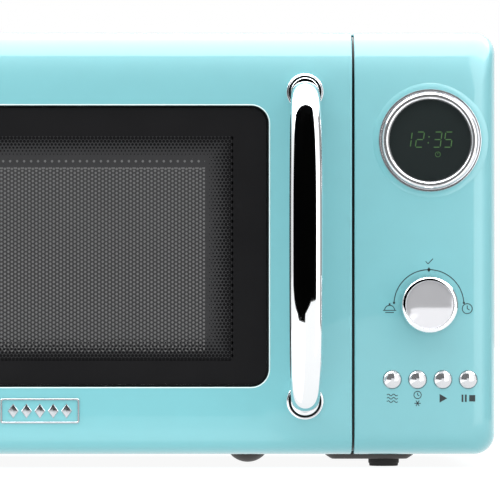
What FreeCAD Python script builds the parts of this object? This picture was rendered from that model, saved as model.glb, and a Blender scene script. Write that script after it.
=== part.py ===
import FreeCAD, Part
import math
import os

import Sketcher

# A compact counter-top microwave oven with a bowed front, a side-hung door and a
# turntable. Millimetres; X to the right, Y to the rear, Z up; the origin is on the
# surface that the oven stands on, below the middle of its bounding box.

doc = FreeCAD.newDocument("microwave_oven")
sheet = doc.addObject("Spreadsheet::Sheet", "Dims")
Vector = FreeCAD.Vector

DRIVING = {
    # front form, shared by the door and the control panel
    "half_width": 227.5, "front_low": 7.8, "front_high": 262, "face_y": -148,
    "front_depth": 35, "corner_round": 12.5, "top_roll": 40, "side_roll": 18,
    "low_roll": 16, "seam_x": 141.5, "seam_half": 0.75, "skin": 2.5,
    # cabinet
    "sheet_metal": 1, "cabinet_half": 225.5, "cabinet_high": 261, "cabinet_low": 9,
    "cabinet_front": -111, "cabinet_rear": 176, "cabinet_round": 12,
    "base_low": 8, "rear_end": 183,
    # oven cavity, inside faces
    "cavity_left": -199.7, "cavity_right": 106.3, "cavity_floor": 33,
    "cavity_top": 233, "cavity_rear": 168, "cavity_round": 6,
    # door
    "window_left": -183.1, "window_right": 89.7, "window_low": 50,
    "window_high": 216.6, "window_round": 9.6, "window_gap": 1.2,
    "glass_thick": 3.2, "glass_sink": 2.4, "door_wall": 8, "stile": 15.5,
    "pivot_x": -219, "pivot_y": -121.5, "pivot_round": 8.5, "pin_radius": 2.5,
    "arm_half": 4, "arm_thick": 3, "arm_lower": 27, "arm_upper": 239, "pin_long": 8,
    "running_gap": 0.05, "latch_x": 124, "latch_half": 2, "hook_lower": 74,
    "hook_upper": 189, "hook_reach": -88,
    # handle
    "handle_x": 112.5, "handle_low": 40.3, "handle_high": 225.8, "handle_reach": 29.5,
    "handle_wide": 20, "handle_end_wide": 16, "handle_deep": 11, "handle_end_deep": 14,
    "rose_radius": 11.2, "collar_radius": 8, "collar_high": 5, "screw_radius": 2,
    "seat_gap": 0.06,
    # controls
    "display_x": 187.6, "display_z": 196.8, "bezel_radius": 30.9, "lens_radius": 24.3,
    "knob_x": 186.9, "knob_z": 98.2, "knob_radius": 17, "knob_high": 14,
    "knob_gap": 1.2, "shaft_radius": 3, "plunger_radius": 1.4,
    "button_first": 164.9, "button_pitch": 15.2, "button_z": 53.2, "button_radius": 5.3,
    "moving_gap": 0.3, "board_y": -128, "board_thick": 1.6,
    # turntable
    "table_x": -46.7, "table_y": 30.5, "tray_radius": 127.5, "tray_low": 47.3,
    "wheel_radius": 6.8, "wheel_path": 88, "wheel_z": 40.1, "drive_radius": 3,
    # feet
    "foot_x": 161.6, "foot_front": -88, "foot_rear": 140, "foot_radius": 9.3,
    "foot_high": 4.5, "pad_in": 36, "pad_out": 18, "dish_x": 79,
    # fan
    "fan_x": 167, "fan_y": 160, "fan_z": 158, "fan_radius": 38,
}


class Size:
    """A number together with the sheet expression that gives it."""

    def __init__(self, value, text):
        self.value = value
        self.text = text

    def joined(self, other, sign, value):
        return Size(value, f"({self.text} {sign} {size(other).text})")

    def __add__(self, other):
        return self.joined(other, "+", self.value + size(other).value)

    def __sub__(self, other):
        return self.joined(other, "-", self.value - size(other).value)

    def __mul__(self, other):
        return self.joined(other, "*", self.value * size(other).value)

    def __truediv__(self, other):
        return self.joined(other, "/", self.value / size(other).value)

    def __radd__(self, other):
        return size(other) + self

    def __rsub__(self, other):
        return size(other) - self

    def __rmul__(self, other):
        return size(other) * self

    def __neg__(self):
        return Size(-self.value, f"(0 - {self.text})")


def size(number):
    """A plain number as a Size; a Size stays as it is."""
    if isinstance(number, Size):
        return number
    return Size(number, repr(round(number, 6)))


class Driving:
    """The sheet's driving dimensions, one attribute for each alias."""


D = Driving()
for row, (alias, number) in enumerate(DRIVING.items(), start=1):
    sheet.set(f"A{row}", alias)
    sheet.set(f"B{row}", str(number))
    sheet.setAlias(f"B{row}", alias)
    setattr(D, alias, Size(number, f"Dims.{alias}"))
doc.recompute()

parts = []


def part(label, piece):
    """Names a finished sub-part and puts it on the list to be written."""
    piece.Label = label
    parts.append(piece)
    return piece


def bind(target, prop, value):
    target.setExpression(prop, size(value).text)


def place(target, x, y, z):
    for axis, value in zip("xyz", (x, y, z)):
        bind(target, f"Placement.Base.{axis}", value)


TURNS = {
    "+Z": FreeCAD.Rotation(),
    "+X": FreeCAD.Rotation(Vector(0, 1, 0), 90),
    "+Y": FreeCAD.Rotation(Vector(1, 0, 0), -90),
    "-Y": FreeCAD.Rotation(Vector(1, 0, 0), 90),
}


# ---------------------------------------------------------------- Part primitives

def box(name, x, y, z):
    """A box between two limits on each axis."""
    piece = doc.addObject("Part::Box", name)
    for prop, (low, high) in zip(("Length", "Width", "Height"), (x, y, z)):
        bind(piece, prop, size(high) - low)
    place(piece, x[0], y[0], z[0])
    return piece


def rod(name, axis, base, radius, length):
    """A cylinder that starts at its base and runs along the named axis."""
    piece = doc.addObject("Part::Cylinder", name)
    piece.Placement.Rotation = TURNS[axis]
    bind(piece, "Radius", radius)
    bind(piece, "Height", length)
    place(piece, *base)
    return piece


def fuse(name, pieces):
    joined = doc.addObject("Part::MultiFuse", name)
    joined.Shapes = pieces
    return joined


def cut(name, base, tools):
    """The base without its tools; the tools have to take something away."""
    result = doc.addObject("Part::Cut", name)
    result.Base = base
    result.Tool = tools[0] if len(tools) == 1 else fuse(name + "_tools", tools)
    doc.recompute()
    if result.Shape.Volume > base.Shape.Volume - 0.01:
        raise ValueError(f"{name}: the cut takes nothing away")
    return result


def group(name, pieces):
    """Separate solids that share one node."""
    together = doc.addObject("Part::Compound", name)
    together.Links = pieces
    return together


# ---------------------------------------------------------------- PartDesign pieces

def new_body(name):
    return doc.addObject("PartDesign::Body", name)


def rectangle(x, y, radius=0):
    """Corner points and arcs of an upright rectangle, counter-clockwise."""
    (x0, x1), (y0, y1) = x, y
    if size(radius).value == 0:
        return [(x0, y0), (x1, y0), (x1, y1), (x0, y1)], {}
    points = [
        (x0 + radius, y0), (x1 - radius, y0), (x1, y0 + radius), (x1, y1 - radius),
        (x1 - radius, y1), (x0 + radius, y1), (x0, y1 - radius), (x0, y0 + radius),
    ]
    return points, {1: radius, 3: radius, 5: radius, 7: radius}


def disc(x, y, radius):
    return ("disc", x, y, radius)


def constrain(sketch, kind, *values):
    """A constraint whose last value is bound to the sheet."""
    value = size(values[-1])
    index = sketch.addConstraint(Sketcher.Constraint(kind, *values[:-1], value.value))
    sketch.setExpression(f"Constraints[{index}]", value.text)


def draw_disc(sketch, x, y, radius):
    centre = Vector(size(x).value, size(y).value, 0)
    index = sketch.addGeometry(Part.Circle(centre, Vector(0, 0, 1), size(radius).value))
    constrain(sketch, "DistanceX", -1, 1, index, 3, x)
    constrain(sketch, "DistanceY", -1, 1, index, 3, y)
    constrain(sketch, "Radius", index, radius)


def arc_between(start, end, radius):
    """The short arc from start to end; a positive radius bulges to the right."""
    chord = end - start
    middle = (start + end) * 0.5
    normal = Vector(-chord.y, chord.x, 0).normalize() * math.copysign(1, radius)
    reach = math.sqrt(max(radius ** 2 - chord.Length ** 2 / 4, 0))
    top = middle + normal * (reach - abs(radius))
    return Part.Arc(start, top, end) if radius > 0 else Part.Arc(end, top, start)


def draw_outline(sketch, points, arcs):
    """A closed outline of lines, with arcs where the dictionary gives a radius."""
    corners = [Vector(size(x).value, size(y).value, 0) for x, y in points]
    first = sketch.GeometryCount
    ends = []
    for index, start in enumerate(corners):
        end = corners[(index + 1) % len(corners)]
        if index in arcs:
            radius = size(arcs[index]).value
            sketch.addGeometry(arc_between(start, end, radius))
            ends.append((1, 2) if radius > 0 else (2, 1))
        else:
            sketch.addGeometry(Part.LineSegment(start, end))
            ends.append((1, 2))
    for index, (x, y) in enumerate(points):
        following = (index + 1) % len(points)
        sketch.addConstraint(Sketcher.Constraint(
            "Coincident", first + index, ends[index][1], first + following, ends[following][0]))
        constrain(sketch, "DistanceX", -1, 1, first + index, ends[index][0], x)
        constrain(sketch, "DistanceY", -1, 1, first + index, ends[index][0], y)
    for index, radius in arcs.items():
        bound = radius if size(radius).value > 0 else -size(radius)
        constrain(sketch, "Radius", first + index, bound)


def new_sketch(body, name, plane, at, loops):
    """A sketch on one of the body's own planes, moved along it to where it is used."""
    sketch = body.newObject("Sketcher::SketchObject", name)
    origin = [item for item in body.Origin.OriginFeatures if item.Role == plane + "_Plane"]
    sketch.AttachmentSupport = (origin[0], [""])
    sketch.MapMode = "FlatFace"
    bind(sketch, "AttachmentOffset.Base.z", -size(at) if plane == "XZ" else at)
    for loop in loops:
        if loop[0] == "disc":
            draw_disc(sketch, *loop[1:])
        else:
            draw_outline(sketch, *loop)
    return sketch


def pad(body, name, plane, limits, loops):
    """Material between two limits along the plane's own axis."""
    low, high = limits
    feature = body.newObject("PartDesign::Pad", name)
    feature.Profile = new_sketch(body, name + "_sketch", plane, low, loops)
    bind(feature, "Length", size(high) - low)
    feature.Reversed = plane == "XZ"
    return feature


def pocket(body, name, plane, limits, loops):
    """Takes away what lies between two limits, and makes sure that it does."""
    doc.recompute()
    before = body.Shape.Volume
    low, high = limits
    feature = body.newObject("PartDesign::Pocket", name)
    feature.Profile = new_sketch(body, name + "_sketch", plane, low, loops)
    bind(feature, "Length", size(high) - low)
    feature.Reversed = plane != "XZ"
    doc.recompute()
    if body.Shape.Volume > before - 0.01:
        raise ValueError(f"{name}: the pocket cuts nothing")
    return feature


def repeat(body, feature, axis, length, count):
    """Repeats a feature in a row along an axis of its own sketch."""
    pattern = body.newObject("PartDesign::LinearPattern", feature.Name + "_row")
    pattern.Originals = [feature]
    pattern.Direction = (feature.Profile[0], [axis])
    bind(pattern, "Length", length)
    pattern.Occurrences = count
    body.Tip = pattern
    return pattern


def turned(name, axis, base, points, arcs=None):
    """A turned piece: its profile gives radius and distance along the axis."""
    body = new_body(name)
    feature = body.newObject("PartDesign::Revolution", name + "_turn")
    sketch = new_sketch(body, name + "_sketch", "XZ", 0, [(points, arcs or {})])
    feature.Profile = sketch
    feature.ReferenceAxis = (sketch, ["V_Axis"])
    feature.Angle = 360
    body.Placement.Rotation = TURNS[axis]
    place(body, *base)
    return body


def dome(radius, rise):
    """The radius of a spherical cap of that base radius and rise."""
    return (radius * radius + size(rise) * rise) / (2 * size(rise))


# ---------------------------------------------------------------- shared values

seam_left = D.seam_x - D.seam_half
seam_right = D.seam_x + D.seam_half
door_back = D.face_y + D.front_depth
front_void = D.face_y + D.door_wall
void_low = D.front_low + 5.5
void_high = D.front_high - 9
plate_back = D.cabinet_front + D.sheet_metal
arm_levels = (D.arm_lower, D.arm_upper)
hook_levels = (D.hook_lower, D.hook_upper)
handle_ends = (D.handle_low, D.handle_high)
ROLL_POWER = 3.2


def front_sections(body, name, is_door):
    """Sections of the bowed front, from its back plane forward to its flat face."""
    sections = []
    for step in range(9):
        angle = math.radians(90 * step / 8)
        inset = 1 - math.cos(angle) ** (2 / ROLL_POWER)
        ahead = math.sin(angle) ** (2 / ROLL_POWER)
        low = D.front_low + D.low_roll * inset
        high = D.front_high - D.top_roll * inset
        outer = D.half_width - D.side_roll * inset
        if is_door:
            points = [
                (seam_left, low), (seam_left, high), (D.corner_round - outer, high),
                (-outer, high - D.corner_round), (-outer, low + D.corner_round),
                (D.corner_round - outer, low),
            ]
            arcs = {2: D.corner_round, 4: D.corner_round}
        else:
            points = [
                (seam_right, low), (outer - D.corner_round, low),
                (outer, low + D.corner_round), (outer, high - D.corner_round),
                (outer - D.corner_round, high), (seam_right, high),
            ]
            arcs = {1: D.corner_round, 3: D.corner_round}
        place_y = door_back - D.front_depth * ahead
        sections.append(new_sketch(body, f"{name}_section_{step}", "XZ", place_y, [(points, arcs)]))
    return sections


def bowed_front(name, is_door):
    body = new_body(name)
    sections = front_sections(body, name, is_door)
    loft = body.newObject("PartDesign::AdditiveLoft", name + "_form")
    loft.Profile = sections[0]
    loft.Sections = sections[1:]
    return body


# ---------------------------------------------------------------- cabinet

def wrap_cabinet():
    body = new_body("cabinet")
    outer = D.cabinet_half
    inner = D.cabinet_half - D.sheet_metal
    top = D.cabinet_high
    under = D.cabinet_high - D.sheet_metal
    low = D.cabinet_low
    over = D.cabinet_low + D.sheet_metal
    turn = D.cabinet_round
    turn_in = D.cabinet_round - D.sheet_metal
    points = [
        (outer - turn, low), (outer, low + turn), (outer, top - turn), (outer - turn, top),
        (turn - outer, top), (-outer, top - turn), (-outer, low + turn), (turn - outer, low),
        (turn_in - inner, over), (-inner, over + turn_in), (-inner, under - turn_in),
        (turn_in - inner, under), (inner - turn_in, under), (inner, under - turn_in),
        (inner, over + turn_in), (inner - turn_in, over),
    ]
    arcs = {0: turn, 2: turn, 4: turn, 6: turn,
            8: -turn_in, 10: -turn_in, 12: -turn_in, 14: -turn_in}
    pad(body, "cabinet_skin", "XZ", (D.cabinet_front + 0.3, D.cabinet_rear), [(points, arcs)])
    slot = rectangle((size(40), size(43)), (size(150), size(172)), 1.4)
    vents = pocket(body, "cabinet_vent", "YZ", (-outer - 1, outer + 1), [slot])
    repeat(body, vents, "H_Axis", 84, 13)
    part("wrap_cabinet", body)


def base_plate():
    body = new_body("base")
    edge = D.cabinet_half - D.cabinet_round - 0.5
    front = plate_back + 0.2
    pad(body, "base_sheet", "XY", (D.base_low, D.base_low + 1.2),
        [rectangle((-edge, edge), (front, D.cabinet_rear))])
    for side, low in (("left", -edge), ("right", edge - 1)):
        pad(body, f"base_flange_{side}", "YZ", (low, low + 1),
            [rectangle((front, D.cabinet_rear), (D.base_low, D.base_low + 14))])
    slot = rectangle((size(-190), size(-150)), (size(60), size(63)), 1.4)
    vents = pocket(body, "base_vent", "XY", (D.base_low - 1, D.base_low + 3), [slot])
    repeat(body, vents, "V_Axis", 49, 8)
    part("base_plate", body)


def rear_panel():
    body = new_body("rear")
    edge = D.cabinet_half - 0.4
    top = D.cabinet_high - 0.4
    turn = D.cabinet_round
    low = D.base_low
    points = [
        (turn - edge, low), (edge - turn, low), (edge, low + turn), (edge, top - turn),
        (edge - turn, top), (turn - edge, top), (-edge, top - turn), (-edge, low + turn),
    ]
    pad(body, "rear_sheet", "XZ", (D.cabinet_rear, D.cabinet_rear + D.sheet_metal),
        [(points, {1: turn, 3: turn, 5: turn, 7: turn}),
         disc(size(196), size(44), size(7.3))])
    slot = rectangle((D.fan_x - 36, D.fan_x + 36), (D.fan_z - 31.5, D.fan_z - 28.5), 1.4)
    vents = pocket(body, "rear_vent", "XZ", (D.cabinet_rear - 1, D.cabinet_rear + 3), [slot])
    repeat(body, vents, "V_Axis", 60, 11)
    part("rear_panel", body)


def cavity_liner():
    body = new_body("liner")
    wall = D.sheet_metal
    outer = rectangle((D.cavity_left - wall, D.cavity_right + wall),
                      (D.cavity_floor - wall, D.cavity_top + wall), D.cavity_round + wall)
    inner = rectangle((D.cavity_left, D.cavity_right), (D.cavity_floor, D.cavity_top),
                      D.cavity_round)
    pad(body, "liner_tub", "XZ", (plate_back, D.cavity_rear + wall), [outer])
    pocket(body, "liner_inside", "XZ", (plate_back - 1, D.cavity_rear), [inner])
    pocket(body, "liner_drive_hole", "XY", (D.cavity_floor - 3, D.cavity_floor + 3),
           [disc(D.table_x, D.table_y, size(9))])
    pocket(body, "liner_feed", "YZ", (D.cavity_right - 3, D.cavity_right + 4),
           [rectangle((size(-12), size(68)), (size(112), size(152)), 3),
            disc(size(100), size(214), size(7))])
    pocket(body, "liner_vent", "YZ", (D.cavity_left - 4, D.cavity_left + 3),
           [disc(size(60 + 6 * i), size(196 + 6 * j), size(1.7))
            for i in range(6) for j in range(4)])
    part("cavity_liner", body)


def front_plate():
    body = new_body("plate")
    edge = D.cabinet_half - 1.3
    high = D.cabinet_high - 1.5
    turn = D.cabinet_round - 1.5
    loops = [
        rectangle((-edge, edge), (D.cabinet_low + 0.5, high), turn),
        rectangle((D.cavity_left, D.cavity_right), (D.cavity_floor, D.cavity_top), D.cavity_round),
        rectangle((size(150), size(216)), (size(26), size(240)), 6),
    ]
    pad(body, "plate_sheet", "XZ", (D.cabinet_front, plate_back), loops)
    slots = [rectangle((D.latch_x - 3.5, D.latch_x + 5.5), (level - 6, level + 13), 2)
             for level in hook_levels]
    pocket(body, "plate_slots", "XZ", (D.cabinet_front - 1, plate_back + 1), slots)
    notch = D.arm_half + 0.5
    notches = [rectangle((D.pivot_x - notch, D.pivot_x + notch),
                         (level - 0.5, level + D.arm_thick + 0.5)) for level in arm_levels]
    pocket(body, "plate_notches", "XZ", (D.cabinet_front - 1, plate_back + 1), notches)
    part("front_plate", body)


def hinge_arms():
    arms = []
    for name, level, pin_up in (("lower", D.arm_lower, True), ("upper", D.arm_upper, False)):
        top = level + D.arm_thick
        flange_back = plate_back + 1.2
        bar = box(f"arm_{name}", (D.pivot_x - D.arm_half, D.pivot_x + D.arm_half),
                  (D.pivot_y, flange_back), (level, top))
        eye = rod(f"eye_{name}", "+Z", (D.pivot_x, D.pivot_y, level), D.arm_half, D.arm_thick)
        flange_z = (level, level + 22) if pin_up else (top - 22, top)
        flange = box(f"arm_flange_{name}", (D.pivot_x - D.arm_half, D.pivot_x + 13),
                     (plate_back, flange_back), flange_z)
        pin_low = level + 1 if pin_up else level - D.pin_long
        pin = rod(f"hinge_pin_{name}", "+Z", (D.pivot_x, D.pivot_y, pin_low), D.pin_radius,
                  D.pin_long + D.arm_thick - 1)
        arms.append(fuse(f"hinge_arm_{name}_solid", [bar, eye, flange, pin]))
    part("hinge_arms", group("hinge_arm_pair", arms))


def feet():
    """Rubber feet on drawn pads, and a domed stiffening dish at the front."""
    pads = []
    soles = []
    for name, x, span in (("left", -D.foot_x, (-D.foot_x - D.pad_out, D.pad_in - D.foot_x)),
                          ("right", D.foot_x, (D.foot_x - D.pad_in, D.foot_x + D.pad_out))):
        for end, y in (("front", D.foot_front), ("rear", D.foot_rear)):
            pads.append(box(f"pad_{name}_{end}", span, (y - 16, y + 16),
                            (D.foot_high, D.base_low)))
            soles.append(turned(f"foot_{name}_{end}", "+Z", (x, y, 0), [
                (size(0), size(0)), (D.foot_radius - 0.8, size(0)), (D.foot_radius, size(0.8)),
                (D.foot_radius, D.foot_high), (size(0), D.foot_high)]))
    part("foot_pads", group("pads", pads))
    part("rubber_feet", group("soles", soles))
    dish = turned("dish", "+Z", (D.dish_x, D.foot_front, 0), [
        (size(0), D.base_low - 5.6), (size(10.4), D.base_low - 1), (size(10.4), D.base_low),
        (size(0), D.base_low)], {0: dome(size(10.4), 4.6)})
    part("base_dish", dish)


def rear_fittings():
    back = D.cabinet_rear + D.sheet_metal
    screws = []
    for index, (x, z) in enumerate([(-212, 30), (-212, 235), (0, 252), (212, 235), (212, 20),
                                    (-80, 16), (90, 16)]):
        screws.append(rod(f"screw_head_{index}", "+Y", (size(x), back, size(z)), 3.6, 1.8))
    part("cover_screws", group("screws", screws))
    gland = turned("gland", "+Y", (size(196), back - 3, size(44)), [
        (size(3.6), size(0)), (size(7.1), size(0)), (size(7.1), size(3)), (size(10), size(3)),
        (size(10), size(5)), (size(6.2), D.rear_end - back + 3),
        (size(3.6), D.rear_end - back + 3)])
    part("cable_gland", gland)


# ---------------------------------------------------------------- door

def door_frame():
    body = bowed_front("door_shell", True)
    void_left = D.stile - D.half_width
    pocket(body, "door_void", "XZ", (front_void, door_back + 1),
           [rectangle((void_left, seam_left - D.skin), (void_low, void_high), 8)])
    pocket(body, "door_window", "XZ", (D.face_y - 1, front_void + 1),
           [rectangle((D.window_left - D.window_gap, D.window_right + D.window_gap),
                      (D.window_low - D.window_gap, D.window_high + D.window_gap),
                      D.window_round + D.window_gap)])
    edge = D.pivot_x - D.pivot_round
    back = D.pivot_y + D.pivot_round
    corner = ([(edge, D.pivot_y), (D.pivot_x, back), (D.pivot_x, back + 1),
               (edge - 1, back + 1), (edge - 1, D.pivot_y)], {0: -D.pivot_round})
    pocket(body, "door_hinge_corner", "XY", (D.front_low - 1, D.front_high + 1), [corner])
    notch = rectangle((edge - 1, D.pivot_x + D.arm_half + 1), (D.pivot_y - 7.5, back + 1))
    for name, level in zip(("lower", "upper"), arm_levels):
        pocket(body, f"door_notch_{name}", "XY", (level - 0.5, level + D.arm_thick + 0.5), [notch])
    bore = disc(D.pivot_x, D.pivot_y, D.pin_radius + D.running_gap)
    top = D.arm_lower + D.arm_thick
    pocket(body, "door_socket_lower", "XY", (top, top + D.pin_long + 1), [bore])
    pocket(body, "door_socket_upper", "XY", (D.arm_upper - D.pin_long - 1, D.arm_upper), [bore])
    pocket(body, "door_screw_holes", "XZ", (D.face_y - 1, front_void + 1),
           [disc(D.handle_x, level, D.screw_radius + 0.3) for level in handle_ends])
    part("door_frame", body)


def window():
    gap = D.window_gap - 0.1
    outer = rectangle((D.window_left - gap, D.window_right + gap),
                      (D.window_low - gap, D.window_high + gap), D.window_round + gap)
    pane = rectangle((D.window_left, D.window_right), (D.window_low, D.window_high),
                     D.window_round)
    opening = rectangle((D.window_left + 8, D.window_right - 8),
                        (D.window_low + 8, D.window_high - 8), 6)
    front = D.face_y + D.glass_sink
    glass = new_body("glass")
    pad(glass, "glass_pane", "XZ", (front, front + D.glass_thick), [pane])
    part("window_glass", glass)
    gasket = new_body("gasket")
    pad(gasket, "gasket_rim", "XZ", (front + 0.4, front + D.glass_thick), [outer, pane])
    pad(gasket, "gasket_bed", "XZ", (front + D.glass_thick, front_void), [outer, opening])
    part("window_gasket", gasket)


def door_inside():
    left = D.stile - D.half_width + 2
    right = seam_left - D.skin - 1.5
    screen = new_body("screen")
    pad(screen, "screen_sheet", "XZ", (size(-134), size(-133.2)),
        [rectangle((left, right), (void_low + 2, void_high - 2), 7)])
    part("door_screen_panel", screen)
    view = ((D.window_left + 22, D.window_right - 22), (D.window_low + 18, D.window_high - 20))
    film = new_body("film")
    pad(film, "film_sheet", "XZ", (size(-132.4), size(-132)),
        [rectangle((view[0][0] - 6, view[0][1] + 6), (view[1][0] - 6, view[1][1] + 6), 4)])
    part("inner_film", film)
    choke = new_body("choke")
    back = door_back - 0.4
    lip = 2
    pad(choke, "choke_face", "XZ", (back - 2, back),
        [rectangle((left, right), (void_low + 2, void_high - 2), 7), rectangle(*view, 6)])
    pad(choke, "choke_lip", "XZ", (size(-131.8), back - 2),
        [rectangle((view[0][0] - lip, view[0][1] + lip), (view[1][0] - lip, view[1][1] + lip), 8),
         rectangle(*view, 6)])
    pad(choke, "choke_wall", "XZ", (size(-131.8), back - 2),
        [rectangle((left, right), (void_low + 2, void_high - 2), 7),
         rectangle((left + lip, right - lip), (void_low + 4, void_high - 4), 5)])
    slots = [rectangle((D.latch_x - 3.5, D.latch_x + 3.5), (level - 6, level + 13), 2)
             for level in hook_levels]
    pocket(choke, "choke_slots", "XZ", (back - 3, back + 1), slots)
    part("choke_cover", choke)


def latch_parts():
    """The sliding latch in the door, with its two hooks and its return spring."""
    sides = (D.latch_x - D.latch_half, D.latch_x + D.latch_half)
    pieces = [box("latch_bar", sides, (-129, -123), (D.hook_lower - 12, D.hook_upper + 16))]
    for name, level in zip(("lower", "upper"), hook_levels):
        pieces.append(box(f"hook_shank_{name}", sides, (-125, D.hook_reach), (level, level + 6)))
        pieces.append(box(f"hook_barb_{name}", sides, (D.hook_reach - 5, D.hook_reach),
                          (level - 4, level + 1)))
    part("latch_arm", fuse("latch", pieces))
    low = D.hook_upper + 16
    coil = [rod("spring_outer", "+Z", (D.latch_x, -126, low), 2.4, 22),
            rod("spring_inner", "+Z", (D.latch_x, -126, low - 1), 1.7, 24)]
    part("latch_spring", cut("spring", coil[0], coil[1:]))


def strap_handle():
    """The bowed handle: oval sections along half a superellipse, blended into one skin."""
    middle = (D.handle_low.value + D.handle_high.value) / 2
    half_span = (D.handle_high.value - D.handle_low.value) / 2
    start = math.asin((D.collar_high.value / D.handle_reach.value) ** 1.5)
    sections = []
    for step in range(25):
        angle = start + (math.pi - 2 * start) * step / 24
        across = math.copysign(abs(math.cos(angle)) ** (2 / 3), math.cos(angle))
        out = math.sin(angle) ** (2 / 3)
        centre = Vector(D.handle_x.value, D.face_y.value - D.handle_reach.value * out,
                        middle + half_span * across)
        slope_out = math.cos(angle) * max(math.sin(angle), 1e-3) ** (-1 / 3)
        slope_across = -math.sin(angle) * max(abs(math.cos(angle)), 1e-3) ** (-1 / 3)
        along = Vector(0, -D.handle_reach.value * slope_out, half_span * slope_across)
        if step in (0, 24):
            along = Vector(0, -1 if step == 0 else 1, 0)
        blend = math.sin(angle) ** 0.8
        wide = D.handle_end_wide.value + (D.handle_wide - D.handle_end_wide).value * blend
        deep = D.handle_end_deep.value + (D.handle_deep - D.handle_end_deep).value * blend
        side = Vector(1, 0, 0)
        ring = Part.Ellipse(Vector(0, 0, 0), wide / 2, deep / 2)
        placed = FreeCAD.Placement(centre, FreeCAD.Rotation(side, along.cross(side), along, "XZY"))
        sections.append(Part.Wire([ring.toShape().transformed(placed.toMatrix())]))
    shape = Part.makeLoft(sections, True, False)
    for level in (D.handle_low.value, D.handle_high.value):
        base = Vector(D.handle_x.value, D.face_y.value - D.collar_high.value + 0.1, level)
        shape = shape.cut(Part.makeCylinder(D.screw_radius.value + 0.05, 6.2, base, Vector(0, -1, 0)))
    handle = doc.addObject("Part::Feature", "handle_bow")
    handle.Shape = shape
    handle.Placement = FreeCAD.Placement()
    part("door_handle", handle)


def handle_fittings():
    roses = []
    screws = []
    for name, level in zip(("lower", "upper"), handle_ends):
        roses.append(turned(f"rose_{name}", "-Y", (D.handle_x, D.face_y, level), [
            (D.screw_radius + 0.3, D.seat_gap), (D.rose_radius, D.seat_gap),
            (D.rose_radius, size(1)),
            (D.rose_radius - 1.4, size(2.2)), (D.collar_radius, size(2.2)),
            (D.collar_radius, D.collar_high), (D.screw_radius + 0.3, D.collar_high)]))
        shank = rod(f"handle_screw_shank_{name}", "-Y", (D.handle_x, front_void, level),
                    D.screw_radius, D.door_wall + D.collar_high + 5.5)
        head = rod(f"handle_screw_head_{name}", "+Y", (D.handle_x, front_void, level), 4, 2.4)
        screws.append(fuse(f"handle_screw_{name}", [shank, head]))
    part("handle_roses", group("rose_pair", roses))
    part("handle_screws", group("handle_screw_pair", screws))


def badge():
    """A plain bright frame with a row of upright bars: a generic ornament."""
    left, right = size(-70.2), size(-22.9)
    low, high = size(27), size(41.9)
    rim = 0.9
    body = new_body("badge_rim")
    pad(body, "badge_ring", "XZ", (D.face_y - 0.9, D.face_y),
        [rectangle((left, right), (low, high), 1.2),
         rectangle((left + rim, right - rim), (low + rim, high - rim), 0.6)])
    middle = (left + right) / 2
    centre_z = (low + high) / 2
    pieces = [body]
    for index in range(-3, 4):
        tall = 4.6 - 0.9 * abs(index)
        x = middle + 4.2 * index
        pieces.append(box(f"badge_bar_{index + 3}", (x - 0.7, x + 0.7),
                          (D.face_y - 0.7, D.face_y), (centre_z - tall, centre_z + tall)))
    part("door_badge", group("badge", pieces))


# ---------------------------------------------------------------- control panel

def control_panel():
    body = bowed_front("panel_shell", False)
    pocket(body, "panel_void", "XZ", (front_void, door_back + 1),
           [rectangle((seam_right + D.skin, D.half_width - 5.5), (void_low, void_high), 8)])
    pocket(body, "panel_void_front", "XZ", (D.face_y + 3, front_void + 1),
           [rectangle((size(150), size(218)), (size(30), size(236)), 6)])
    wells = [disc(D.button_first + D.button_pitch * index, D.button_z, D.button_radius + D.moving_gap)
             for index in range(4)]
    pocket(body, "panel_holes", "XZ", (D.face_y - 1, D.face_y + 5),
           wells + [disc(D.knob_x, D.knob_z, D.shaft_radius + 0.4),
                    disc(D.display_x, D.display_z, D.lens_radius + 3.5)])
    edge = rectangle((seam_right, D.half_width), (D.front_low, D.front_high), D.corner_round)
    wall = rectangle((seam_right + D.skin, D.half_width - D.skin),
                     (D.front_low + D.skin, D.front_high - D.skin), D.corner_round - D.skin)
    pad(body, "panel_skirt", "XZ", (door_back, D.cabinet_front), [edge, wall])
    part("control_panel", body)


def display():
    centre = (D.display_x, D.face_y, D.display_z)
    bezel = turned("bezel", "-Y", centre, [
        (D.lens_radius + 0.2, size(-5)), (D.lens_radius + 3.3, size(-5)),
        (D.lens_radius + 3.3, D.seat_gap), (D.bezel_radius, D.seat_gap),
        (D.bezel_radius, size(0.9)),
        (D.bezel_radius - 2.5, size(1.7)), (D.bezel_radius - 3.2, size(4.2)),
        (D.lens_radius + 1.2, size(4.2)), (D.lens_radius + 0.2, size(1.6))],
        {5: size(9), 6: size(3.2)})
    part("display_bezel", bezel)
    lens = turned("lens", "-Y", centre, [
        (size(0), size(-2.4)), (D.lens_radius, size(-2.4)), (D.lens_radius, size(0.2)),
        (size(0), size(1.2))], {2: dome(D.lens_radius, 1)})
    part("display_lens", lens)
    module = fuse("display_block", [
        rod("display_can", "+Y", (D.display_x, D.face_y + 2.6, D.display_z), 22, 12),
        box("display_pins", (D.display_x - 15, D.display_x + 15),
            (D.face_y + 12, D.board_y), (D.display_z - 8, D.display_z + 8))])
    part("display_module", module)


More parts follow.
